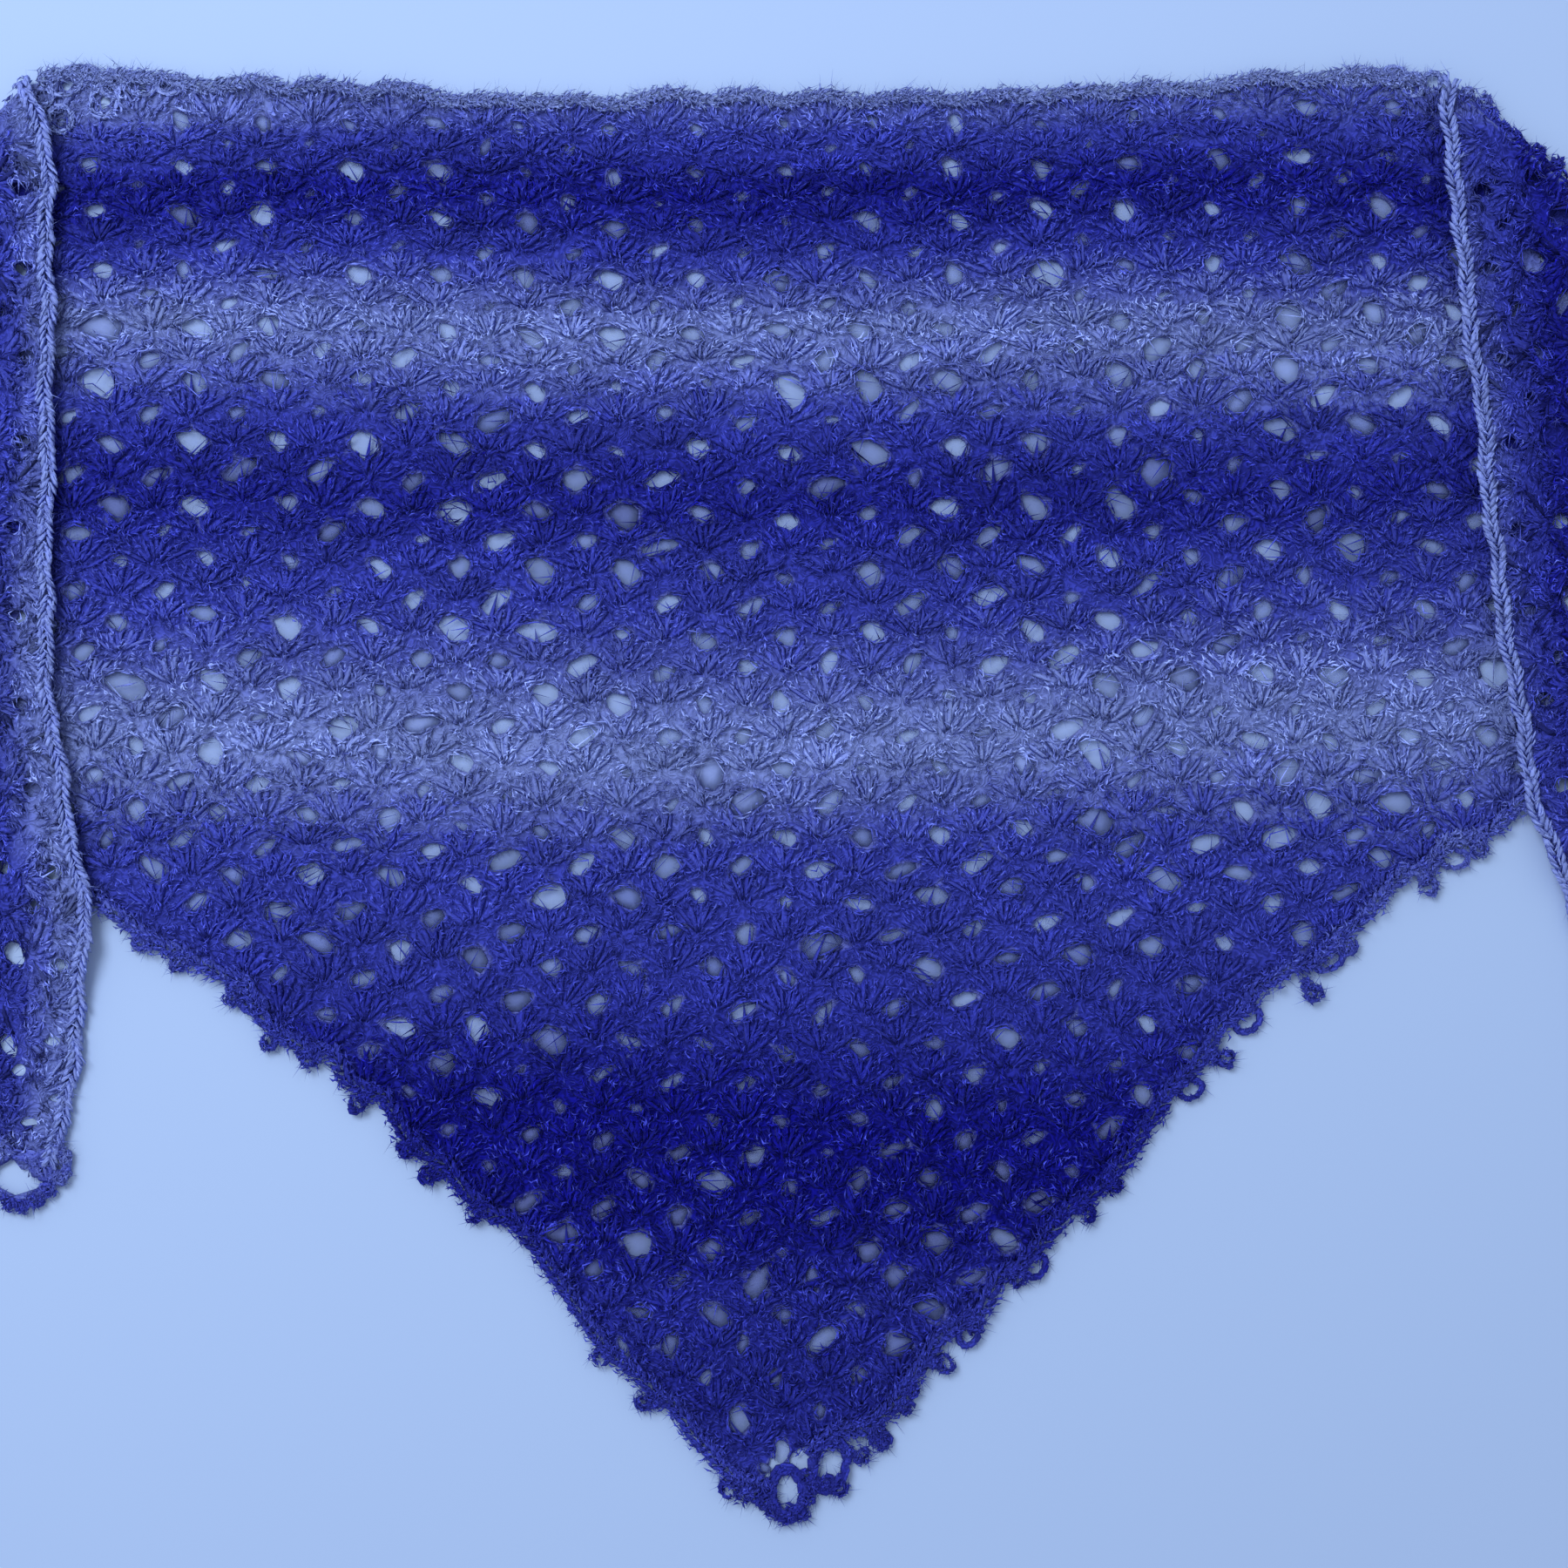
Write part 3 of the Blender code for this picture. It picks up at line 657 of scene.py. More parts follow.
def layer_stitches(mask, key, gen):
    """The stitches of one face: a fan of posts up from each star, and over them
    the curls of the brushed yarn, spread evenly and leaning with the fan."""
    r, c = np.nonzero(mask)
    n = len(r)
    if n == 0:
        return
    sx, sy = NX[r, c], NY[r, c] - STAR_DROP
    up = np.maximum(r - 1, 0)
    right, left = np.minimum(c + 1, 2 * HALF), np.maximum(c - 1, 0)
    top_row = rows[r] == 0  # the full fans along the top edge
    wide = NX[r, right] - NX[r, left]
    tall = NY[up, c] - NY[r, c]
    tall = np.where(top_row, scallop_top(sx) - sy, tall)
    row_of = rows[r]
    mid = row_depth(row_of) - 0.35 * (row_depth(row_of) - row_depth(row_of - 1))
    turned = key[0] == "wing"
    tone0 = tone_at(edge_depth(sx, sy + 0.4 * tall) if turned else mid, sx)
    shade = gen.normal(1.0, 0.09, n)
    swing = gen.normal(0, 0.16, n)

    def add(line, radius, tint, grow, keep=None):
        line = avoid_holes(line, grow)
        good = within_cut(line, 0.0042, -0.0070)
        for i in (0, line.shape[1] // 2, -1):
            good &= line[:, i, 1] < scallop_top(line[:, i, 0]) - (0.0004 if i else 0.0)
            for side in (-1, 1):  # each keeps to its own side of the bend
                over = past_fold(line[:, i, 0], line[:, i, 1], side)
                if key[0] == "body":
                    good &= (over < 0.0015) | (line[:, i, 0] * side < 0)
                elif (key[1] == "left") == (side < 0):
                    good &= over > -0.0015
        if keep is not None:
            good &= keep
        strands.add(key, line[good], radius[good], tint[good])

    # the posts, four to a side
    for side in (-1, 1):
        for j in range(POSTS):
            spread = (j + 0.5) / POSTS
            dx = side * wide * (0.50 * spread**1.15) + gen.normal(0, 0.0012, n)
            dy = tall * np.where(top_row, 0.96 - 0.30 * spread**2, 1.12 - 0.62 * spread**2) + gen.normal(0, 0.0008, n)
            length = np.hypot(dx, dy) + 1e-6
            px, py = -dy / length, dx / length
            bulge = gen.normal(0.0004 * side, 0.0016, n)
            t = np.clip(0.58 + gen.normal(0, 0.05, n)[:, None] + 0.46 * SPINDLE, 0.05, 1.15)
            off = bulge[:, None] * 4 * t * (1 - t)
            W = 0.0012 + 0.0014 * np.sin(np.clip(t, 0, 1) * math.pi * 0.7)
            line = np.stack([sx[:, None] + dx[:, None] * t + px[:, None] * off, sy[:, None] + dy[:, None] * t + py[:, None] * off, W], -1)
            light = shade * gen.normal(0.92, 0.07, n)
            # painted shade: on the turned parts the posts are darker in the hollows
            if turned:
                light *= 1.0 - 0.66 * hollows(sx + 0.5 * dx, sy + 0.5 * dy)
            # the posts carry a fixed painted shade in the fourth channel
            tint = np.stack([tone0 + gen.normal(0, 0.03, n), light, np.zeros(n), np.full(n, 0.34)], -1)
            add(line, gen.uniform(0.00140, 0.00185, n), tint, np.full(n, 1.0))
    # the curls
    for k in range(int(FLECKS * 1.7)):
        late = k >= FLECKS
        if late and not top_row.any():
            break
        u = ((k * 0.61803 + gen.random(n) * 0.25) % 1.0) - 0.5
        v = (k % FLECKS + gen.random(n) * 1.6) / FLECKS * 1.06 - 0.03
        x0 = sx + u * wide * 1.04
        y0 = sy + v * tall + gen.normal(0, 0.0010, n)
        ta, tb, tc = tufts(x0, y0)
        dx, dy = x0 - sx, y0 - (sy - 0.003)
        heading = np.arctan2(dy, dx) + swing * np.sign(dx) + 0.42 * ta + gen.normal(0, 0.26, n)
        near = np.hypot(dx, dy)
        size = gen.uniform(0.0018, 0.0036, n)
        bend = 0.0012 * tb + gen.normal(0, 0.0013, n)
        M = np.array([-1.0, 0.0, 1.0])
        X = x0[:, None] + np.cos(heading)[:, None] * size[:, None] * M - np.sin(heading)[:, None] * bend[:, None] * (1 - M**2)
        Y = y0[:, None] + np.sin(heading)[:, None] * size[:, None] * M + np.cos(heading)[:, None] * bend[:, None] * (1 - M**2)
        tone = 0.65 * tone0 + 0.35 * tone_at(edge_depth(x0, y0) + (0.0 if turned else bow(x0, np.clip(-y0, 0, 0.8))), x0)
        dim, pale = np.clip((0.36 - tone) / 0.36, 0, 1), np.clip((tone - 0.5) / 0.4, 0, 1)
        level = 0.0022 + 0.0005 * tb + 0.0004 * tc + gen.uniform(0, 0.0015, n) * (1 - 0.55 * pale) + 0.0004 * pale
        level = level + 0.0006 * np.clip(near / 0.012, 0, 1)
        W = level[:, None] + 0.0003 * (1 - M**2) + (gen.normal(0, 0.00045, n) * (1 - 0.5 * pale))[:, None] * M
        # painted shade: the curls are darker towards their star, where the fan sinks, through the fourth channel and
        # through light
        painted_shade = np.clip(1.0 - near / 0.0105, 0, 1) * 0.95
        light = 1.0 + (0.22 + 0.14 * dim + 0.04 * pale) * tb + (0.23 + 0.16 * dim + 0.08 * pale) * tc
        light = shade * np.clip(light + gen.normal(0, 0.13, n) * (1 + 0.8 * dim - 0.5 * pale), 0.25, 2.0)
        light *= 0.92 + 0.18 * np.clip(near / 0.015, 0, 1)
        if turned:  # the turned parts are bunched, with hollows between the stitches; painted shade darkens the curls in them
            hollow = hollows(x0, y0)
            light *= 1.0 - 0.70 * hollow + 0.20 * (hollow == 0) * tc
            painted_shade = np.maximum(painted_shade, 0.9 * hollow)
            W = W - 0.0010 * hollow[:, None]
        else:  # the body lies in shade beside the turned parts
            for reach, loss in ((-0.005, 0.22), (-0.009, 0.15), (-0.014, 0.10)):
                light *= 1.0 - loss * covered(x0, y0, reach)
        tone = tone + 0.09 * np.clip(edge_distance(x0, y0) / 0.022 + 1, 0, 1)  # the hem's yarn is a little paler
        tone = tone + dim * (0.12 * tb + 0.11 * tc - 0.02) + pale * (0.10 * tb + 0.15 * tc - 0.05)
        tone = tone + gen.normal(0, 0.035, n) * (1 + 3.0 * dim - 0.5 * pale)
        tint = np.stack([np.clip(tone, -0.05, 1.1), light, np.zeros(n), painted_shade], -1)
        radius = gen.uniform(0.00040, 0.00074, n)
        add(np.stack([X, Y, W], -1), radius, tint, 1.10 - 0.40 * gen.random(n) ** 1.7, top_row if late else None)


BODY_PARTS = 5
body_band = np.where(RR < 8, 0, np.where(RR < 15, 1, np.where(RR < 23, 2, np.where(RR < 32, 3, 4))))
for part in range(BODY_PARTS):
    layer_stitches(on_body & (body_band == part), ("body", part), np.random.default_rng(100 + part))
for side, name in ((-1, "left"), (1, "right")):
    layer_stitches(on_turned & (SIDE == side), ("wing", name), np.random.default_rng(200 + side))

# ---------------------------------------------------------------------------
# The edges: a scalloped chain along the top, a V-shaped chain along each
# wing's edge, and the picot hem
# ---------------------------------------------------------------------------
THREE = np.array([-1.0, 0.0, 1.0])


def spindle(cx, cy, cw, heading, size, bend, tilt=0.0, SPINDLE=SPINDLE):
    """Short tapered strands about their middles."""
    cx, cy, cw, heading, size, bend = (np.asarray(v, float) for v in np.broadcast_arrays(cx, cy, cw, heading, size, bend))
    X = cx[:, None] + np.cos(heading)[:, None] * size[:, None] * SPINDLE - np.sin(heading)[:, None] * bend[:, None] * (1 - SPINDLE**2)
    Y = cy[:, None] + np.sin(heading)[:, None] * size[:, None] * SPINDLE + np.cos(heading)[:, None] * bend[:, None] * (1 - SPINDLE**2)
    W = cw[:, None] + 0.0006 * (1 - SPINDLE**2) + np.asarray(tilt) * SPINDLE
    return np.stack([X, Y, np.maximum(W, 0.0009)], -1)


# a strand's tint: tone, light, chance and painted shade
def tint_of(tone, light, painted_shade, gen):
    n = len(tone)
    return np.stack([np.clip(tone, -0.1, 1.1), light, np.zeros(n), np.broadcast_to(painted_shade, (n,))], -1)


def rope(key, xs, ys, gen, tone, wide, thick, light=1.0, low=0.0022, fluff=12):
    """A cord of chain stitches along a line: slanting pairs of thick strands
    with brushed flecks over them."""
    xs, ys = np.asarray(xs, float), np.asarray(ys, float)
    dist = np.concatenate([[0], np.cumsum(np.hypot(np.diff(xs), np.diff(ys)))])
    at = np.arange(0.002, dist[-1] - 0.001, 0.0046)
    if len(at) == 0:
        return
    x, y = np.interp(at, dist, xs), np.interp(at, dist, ys)
    x2, y2 = np.interp(at + 0.001, dist, xs), np.interp(at + 0.001, dist, ys)
    x1, y1 = np.interp(at - 0.001, dist, xs), np.interp(at - 0.001, dist, ys)
    way = np.arctan2(y2 - y1, x2 - x1)
    n = len(at)
    t = tone(x, y)
    for sgn in (-1, 1):
        off = sgn * wide * 0.27
        cx, cy = x - np.sin(way) * off, y + np.cos(way) * off
        line = spindle(cx, cy, np.full(n, low + thick * 0.5), way + sgn * 0.42 + gen.normal(0, 0.12, n), np.full(n, 0.0048), gen.normal(0, 0.0005, n))
        strands.add(key, line, gen.uniform(0.85, 1.1, n) * thick * 0.5, tint_of(t + gen.normal(0, 0.03, n), light * gen.normal(0.92, 0.09, n), 0.15, gen))
    for _ in range(fluff):
        off = gen.uniform(-0.68, 0.68, n) * wide
        cx, cy = x - np.sin(way) * off + gen.normal(0, 0.0015, n), y + np.cos(way) * off
        line = spindle(cx, cy, low + thick * gen.uniform(0.65, 1.1, n), way + np.sign(off) * 0.5 + gen.normal(0, 0.6, n), gen.uniform(0.0017, 0.0034, n), gen.normal(0, 0.0010, n), 0.0, THREE)
        strands.add(key, line, gen.uniform(0.0004, 0.0008, n), tint_of(t + gen.normal(0, 0.05, n), light * gen.normal(1.08, 0.18, n), 0.0, gen))


def loop(key, cx, cy, rx, ry, turn, gen, tone, yarn=0.0011, low=0.0022, light=1.0):
    """A small open ring of chain."""
    m = 9
    around = np.arange(m) * 2 * math.pi / m + gen.uniform(0, 1)
    for lap, grow in ((0, 1.0), (1, 1.16)):
        a = around + lap * 0.35
        x = cx + rx * grow * np.cos(a) * math.cos(turn) - ry * grow * np.sin(a) * math.sin(turn)
        y = cy + rx * grow * np.cos(a) * math.sin(turn) + ry * grow * np.sin(a) * math.cos(turn)
        dx = -rx * np.sin(a) * math.cos(turn) - ry * np.cos(a) * math.sin(turn)
        dy = -rx * np.sin(a) * math.sin(turn) + ry * np.cos(a) * math.cos(turn)
        size = 0.62 * 2 * math.pi * (rx + ry) / 2 * grow / m + 0.0012
        line = spindle(x, y, low + gen.uniform(0.0, 0.0010, m), np.arctan2(dy, dx) + gen.normal(0, 0.10, m), np.full(m, size), np.full(m, -size * size / (rx + ry) * 0.8))
        strands.add(key, line, gen.uniform(0.9, 1.15, m) * yarn, tint_of(np.full(m, tone) + gen.normal(0, 0.04, m), light * gen.normal(0.98, 0.14, m), 0.1, gen))
    k = 26
    a = gen.uniform(0, 2 * math.pi, k)
    g = gen.uniform(0.92, 1.3, k)
    x = cx + rx * g * np.cos(a) * math.cos(turn) - ry * g * np.sin(a) * math.sin(turn)
    y = cy + rx * g * np.cos(a) * math.sin(turn) + ry * g * np.sin(a) * math.cos(turn)
    line = spindle(x, y, low + gen.uniform(0.0006, 0.0024, k), a + turn + math.pi / 2 + gen.normal(0, 0.6, k), gen.uniform(0.0015, 0.0028, k), gen.normal(0, 0.0008, k), 0.0, THREE)
    strands.add(key, line, gen.uniform(0.0004, 0.0007, k), tint_of(np.full(k, tone) + gen.normal(0, 0.04, k), light * gen.normal(1.08, 0.18, k), 0.0, gen))


def knob(key, cx, cy, size, gen, tone, light=1.0, low=0.0032):
    """A picot: a little ball of curled chain."""
    m = 9
    a = gen.uniform(0, 2 * math.pi, m)
    ring = size * gen.uniform(0.25, 0.75, m)
    line = spindle(cx + ring * np.cos(a), cy + ring * np.sin(a), low + gen.uniform(-0.0016, 0.0012, m), a + math.pi / 2 + gen.normal(0, 0.4, m), size * gen.uniform(0.55, 0.85, m), -size * gen.uniform(0.1, 0.4, m))
    strands.add(key, line, gen.uniform(0.0011, 0.0016, m), tint_of(np.full(m, tone), light * gen.normal(0.88, 0.12, m), 0.2, gen))
    k = 30
    a = gen.uniform(0, 2 * math.pi, k)
    ring = size * np.sqrt(gen.random(k)) * 1.08
    line = spindle(cx + ring * np.cos(a), cy + ring * np.sin(a), low + 0.0006 + 0.0022 * (1 - (ring / size) ** 2), a + math.pi / 2 + gen.normal(0, 0.8, k), gen.uniform(0.0015, 0.0028, k), gen.normal(0, 0.0009, k), 0.0, THREE)
    strands.add(key, line, gen.uniform(0.0004, 0.0008, k), tint_of(np.full(k, tone) + gen.normal(0, 0.04, k), light * gen.normal(1.06, 0.18, k), 0.0, gen))


def depth_tone(x, y, add=0.0):
    return tone_at(edge_depth(x, np.asarray(y) + 0.004), np.asarray(x)) + add


# the top edge, between the turned corners
edge_gen = np.random.default_rng(301)
xs = np.arange(-0.411, 0.3535, 0.0015)
rope(("top", 0), xs, scallop_top(xs) - 0.0024, edge_gen, lambda x, y: 0.93 - 0.05 * np.sin(x / 0.05), 0.0060, 0.0024, 0.80)
# the wings' edges: two plaits side by side
for side, name in ((-1, "left"), (1, "right")):
    gen = np.random.default_rng(310 + side)
    start, end = (-0.4185, -1.016) if side < 0 else (0.3680, 0.956)
    xs = np.arange(min(start, end), max(start, end), 0.0015)
    base = top_line(xs) + 0.0010 * np.sin(xs / 0.013) + 0.0008 * np.sin(xs / 0.0051 + 1)
    dist = np.concatenate([[0], np.cumsum(np.hypot(np.diff(xs), np.diff(base)))])
    at = np.arange(0.001, dist[-1], 0.0086 / 2)
    for plait, inward in ((0, 0.0022), (1, 0.0066)):
        where = at + plait * 0.0021
        x, y = np.interp(where, dist, xs), np.interp(where, dist, base) - inward
        way = np.arctan2(np.interp(where + 0.002, dist, base) - np.interp(where - 0.002, dist, base), 0.004)
        m = len(where)
        slant = (1 if plait else -1) * 0.50
        tone = np.full(m, 0.90) + gen.normal(0, 0.03, m)
        line = spindle(x, y, np.full(m, 0.0040), way + slant + gen.normal(0, 0.07, m), gen.uniform(0.0046, 0.0054, m), gen.normal(0, 0.0004, m))
        strands.add(("chain", name), line, gen.uniform(0.00150, 0.00185, m), tint_of(tone, gen.normal(1.02, 0.08, m), 0.0, gen))
        for _ in range(1):
            off = gen.uniform(-0.0020, 0.0020, m)
            line = spindle(x + gen.normal(0, 0.001, m), y + off, gen.uniform(0.0050, 0.0062, m), way + slant + gen.normal(0, 0.25, m), gen.uniform(0.0022, 0.0036, m), gen.normal(0, 0.0006, m))
            strands.add(("chain", name), line, gen.uniform(0.0004, 0.0007, m), tint_of(tone, gen.normal(1.08, 0.12, m), 0.0, gen))
# open loops at the two upper corners
loop_gen = np.random.default_rng(77)
for px, py, rx, ry, turn in (
    (76, 96, 15, 10, 0.3), (120, 115, 12, 16, -0.4), (163, 98, 13, 9, 0.0), (129, 96, 9, 12, -0.5), (70, 137, 11, 12, 0.0),
    (50, 112, 9, 8, 0.6), (98, 86, 12, 8, 0.1), (196, 98, 12, 8, 0.1), (1548, 92, 9, 6, 0.0), (1574, 89, 9, 7, 0.2),
    (1600, 88, 11, 9, 0.0), (1622, 98, 10, 10, 0.4), (1643, 95, 9, 8, 0.8),
):
    loop(("top", 0), (px - 902) * PX, -(py - 95) * PX, rx * PX, ry * PX, turn, loop_gen, 0.95, 0.0011, 0.0024)


# curls that stand out round the right-hand corner's turn
for px, py, size, tone in (
    (1682, 112, 9, 0.80), (1701, 119, 9, 0.66), (1708, 133, 9, 0.50), (1720, 149, 8, 0.38), (1738, 161, 8, 0.32),
    (1762, 175, 8, 0.30), (1784, 191, 8, 0.28),
):
    knob(("top", 0), (px - 902) * PX, -(py - 95) * PX, size * PX, loop_gen, tone, 0.92, 0.0062)


def off_edge(side, a, out):
    """The point this far outside the smooth lower edge, and the edge's way."""
    x = side * a
    slope = float(low_line(x + 0.004) - low_line(x - 0.004)) / 0.008
    nn = math.hypot(1, slope)
    return x + slope / nn * out, float(low_line(x)) - out / nn, math.atan2(slope, 1)


def hem(side, key, lo_x, hi_x, seed, skip=None):
    """A cord in uneven steps along a lower edge, with picots and chain loops."""
    gen = np.random.default_rng(seed)
    xs = np.arange(lo_x, hi_x, 0.0016) * side
    slope = (low_line(xs + 0.005) - low_line(xs - 0.005)) / 0.01
    norm = np.hypot(1, slope)
    inset = 0.0042 - hem_run(xs) + np.interp(np.abs(xs), np.arange(0, 1.1, 0.009), gen.uniform(-0.0012, 0.0014, 123))
    cx, cy = xs, low_line(xs) + inset * norm
    keep = np.ones(len(xs), bool) if skip is None else ~skip(xs, low_line(xs) + 0.004)
    runs = np.split(np.arange(len(xs)), np.nonzero(np.diff(keep.astype(int)))[0] + 1)
    for run in runs:
        if len(run) > 6 and keep[run[0]]:
            rope(key, cx[run], cy[run], gen, lambda x, y: depth_tone(x, y, 0.10), 0.0078, 0.0034, 1.0)
    seen = [] if skip is None else [(a * 0.001, r * 0.001, "knob") for a, r in HEM_KNOBS[side]] + [
        (a * 0.001, r * 0.001, "loop") for a, r in HEM_LOOPS[side]
    ]
    centre = lo_x + 0.012 if skip is None else max(HEM_STEPS[side][-1][0] * 0.001, lo_x)
    while centre < hi_x - 0.004:
        seen.append((centre, gen.uniform(0.0015, 0.0050), "knob" if gen.random() < 0.58 else "loop"))
        centre += gen.uniform(0.0150, 0.0250)
    for a, reach, kind in seen:
        x, y, way = off_edge(side, a, 0.0)
        if skip is not None and bool(skip(np.array([x]), np.array([y + 0.004]))[0]):
            continue
        tone = float(depth_tone(x, y + 0.01, 0.09))
        reach -= 0.0 if skip is None else 0.0034 if side > 0 else 0.0010
        if kind == "knob":
            size = gen.uniform(0.0046, 0.0056)
            x, y, _ = off_edge(side, a, reach - size * 0.9)
            knob(key, x, y, size, gen, tone, 0.95)
            x, y, _ = off_edge(side, a + gen.uniform(-0.003, 0.003), reach - 0.0100)
            knob(key, x, y, gen.uniform(0.0034, 0.0044), gen, tone, 0.92)
        else:
            x, y, _ = off_edge(side, a, reach - 0.0015)
            loop(key, x, y, gen.uniform(0.0052, 0.0072), gen.uniform(0.0038, 0.0048), way + gen.normal(0, 0.35), gen, tone, 0.0017, 0.0024, 0.93)
    return gen


def under_wing(x, y):
    return covered(x, y, 0.012)


for side, name in ((-1, "left"), (1, "right")):
    # where the fold line meets the lower edge
    probe = np.arange(0.2, 1.0, 0.0005)
    past = past_fold(side * probe, low_line(side * probe), side)
    last_body = probe[np.nonzero(past < 0)[0][-1]]
    first_wing = probe[np.nonzero(past > BEND_LENGTH)[0][0]]
    hem(side, ("hem", name), 0.012, last_body, 400 + side, under_wing)
    hem(side, ("wing_hem", name), last_body + 0.002, (1.014 if side < 0 else 0.955), 420 + side)
tip_gen = np.random.default_rng(9)
# the two hanging loops at the point, and what ties them to the cloth
for px, py, rx, ry, turn in ((904, 1713, 15, 23, 0.08), (953, 1681, 15, 23, -0.30)):
    for grow in (0.92, 1.08):
        loop(("hem", "right"), (px - 902) * PX, -(py - 95) * PX, rx * grow * PX, ry * grow * PX, turn, tip_gen, 0.26, 0.0019, 0.0026, 0.92)
for px, py, size in (
    (1008, 1654, 11), (962, 1706, 12), (903, 1738, 12), (918, 1736, 10), (888, 1733, 10), (929, 1696, 11), (934, 1704, 10),
    (868, 1712, 12), (852, 1716, 12), (836, 1706, 12), (878, 1722, 10), (1038, 1614, 10), (1046, 1594, 9),
    (926, 1720, 9), (950, 1702, 9), (884, 1704, 9),
):
    knob(("hem", "right"), (px - 902) * PX, -(py - 95) * PX, size * PX, tip_gen, 0.26, 0.93)
# the loops at the left wing's tip
for px, py, rx, ry, turn in ((18, 1352, 20, 31, 0.0), (54, 1338, 12, 15, 0.0)):
    u, v = unfold(px, py, -1)
    for grow in (0.95, 1.1):
        loop(("wing_hem", "left"), u, v, rx * grow * PX, ry * grow * PX, turn, tip_gen, 0.62, 0.0017, 0.0024, 0.92)
for px, py, size, tone in ((6, 1382, 9, 0.42), (22, 1385, 9, 0.42), (38, 1379, 9, 0.48), (52, 1368, 9, 0.55), (68, 1352, 9, 0.68), (72, 1328, 8, 0.75), (62, 1312, 8, 0.75)):
    u, v = unfold(px, py, -1)
    knob(("wing_hem", "left"), u, v, size * PX, tip_gen, tone, 0.92)

# ---------------------------------------------------------------------------
# Build the strands and their halo of hairs
# ---------------------------------------------------------------------------
pieces = {}
halo = np.random.default_rng(7)


def hole_hairs(mask, per):
    """Hairs of the brushed yarn that lean in over the open holes."""
    r, c = np.nonzero(mask & open_hole)
    r, c = np.repeat(r, per), np.repeat(c, per)
    n = len(r)
    turn = halo.uniform(0, 2 * math.pi, n)
    x, y = hole_ring(NX[r, c], NY[r, c], hole_wide[r, c], hole_tall[r, c], lean[r, c], turn, 1.05, hole_wave[r, c], hole_tip[r, c])
    heading = np.arctan2(NY[r, c] - y, NX[r, c] - x) + halo.normal(0, 0.85, n)
    size = halo.uniform(0.0030, 0.0070, n)
    root = np.stack([x, y, halo.uniform(0.0018, 0.0045, n)], -1)
    tip = root + size[:, None] * np.stack([np.cos(heading), np.sin(heading), halo.normal(0.0, 0.2, n)], -1)
    tip[:, 2] = np.clip(tip[:, 2], 0.0010, 0.0060)
    tint = np.stack([tone_at(row_depth(rows[r]), x), halo.normal(1.1, 0.2, n), np.full(n, 0.55), np.full(n, 0.0)], -1)
    return root, tip, tint


def build_strands(key, name, body, hairs_per, hair_length, sides=3, holes=None):
    verts, quads, tris, colours, owner = [], [], [], [], []
    offset, strand = 0, 0
    if holes is not None:
        root, tip, tint = hole_hairs(*holes)
        v, t, c = needle_mesh(root, tip, halo.uniform(0.00030, 0.00050, len(root)), tint, 0)
        verts.append(v), tris.append(t), colours.append(c)
        owner.append(np.repeat(np.arange(len(root)), 4))
        offset, strand = len(v), len(root)
    for (k, count), lines in strands.lines.items():
        if k != key:
            continue
        line = np.concatenate(lines)
        radius = np.concatenate(strands.radii[(k, count)])
        tint = np.concatenate(strands.tints[(k, count)])
        v, q, t, c = tube_mesh(line, radius, tint, None, offset, sides)
        n = len(line)
        verts.append(v), quads.append(q), tris.append(t), colours.append(c)
        owner.append(np.repeat(np.arange(n), len(v) // n) + strand)
        offset, strand = offset + len(v), strand + n
        m = int(n * hairs_per)
        pick = halo.integers(0, n, m)
        at = halo.integers(1, max(count - 1, 2), m)
        root = line[pick, at]
        way = line[pick, np.minimum(at + 1, count - 1)] - line[pick, at - 1]
        heading = np.arctan2(way[:, 1], way[:, 0]) + halo.normal(0, 0.9, m) + np.where(halo.random(m) < 0.5, 0, math.pi)
        size = halo.uniform(*hair_length, m)
        rise = halo.normal(0.10, 0.22, m)
        tip = root + size[:, None] * np.stack(
            [np.cos(heading) * np.cos(rise), np.sin(heading) * np.cos(rise), np.sin(rise)], -1
        )
        tip[:, 2] = np.clip(tip[:, 2], 0.0008, 0.0075)
        hair = tint[pick].copy()
        hair[:, 1] = halo.normal(1.05, 0.2, m)
        # the hairs keep half their strand's painted shade
        hair[:, 3] *= 0.5
        v, t, c = needle_mesh(root, tip, halo.uniform(0.00030, 0.00048, m), hair, offset)
        verts.append(v), tris.append(t), colours.append(c)
        owner.append(np.repeat(np.arange(m), 4) + strand)
        offset, strand = offset + len(v), strand + m
    if not verts:
        return None
    flat = np.concatenate(verts)
    flat[:, 2] = np.maximum(flat[:, 2], 0.0002)
    placed = place(flat[:, 0], flat[:, 1], flat[:, 2], body)
    quads, tris, owner = np.concatenate(quads), np.concatenate(tris), np.concatenate(owner)
    if body:  # faces outward; the turned parts are mirrored when they turn over
        quads, tris = quads[:, ::-1], tris[:, ::-1]
    # a strand that the bend has pressed flat is left out
    corner = np.concatenate([quads[:, [0, 1, 2]], quads[:, [0, 2, 3]], tris])
    p = placed[corner]
    six = np.einsum("ij,ij->i", p[:, 0], np.cross(p[:, 1], p[:, 2]))
    whole = np.bincount(owner[corner[:, 0]], weights=six, minlength=strand) / 6 > 1e-12
    keep = whole[owner]
    renumber = np.cumsum(keep) - 1
    quads, tris = renumber[quads[keep[quads[:, 0]]]], renumber[tris[keep[tris[:, 0]]]]
    ob = new_mesh(name, placed[keep], [quads, tris], np.concatenate(colours)[keep])
    ob["tri_count"] = len(quads) * 2 + len(tris)
    return ob


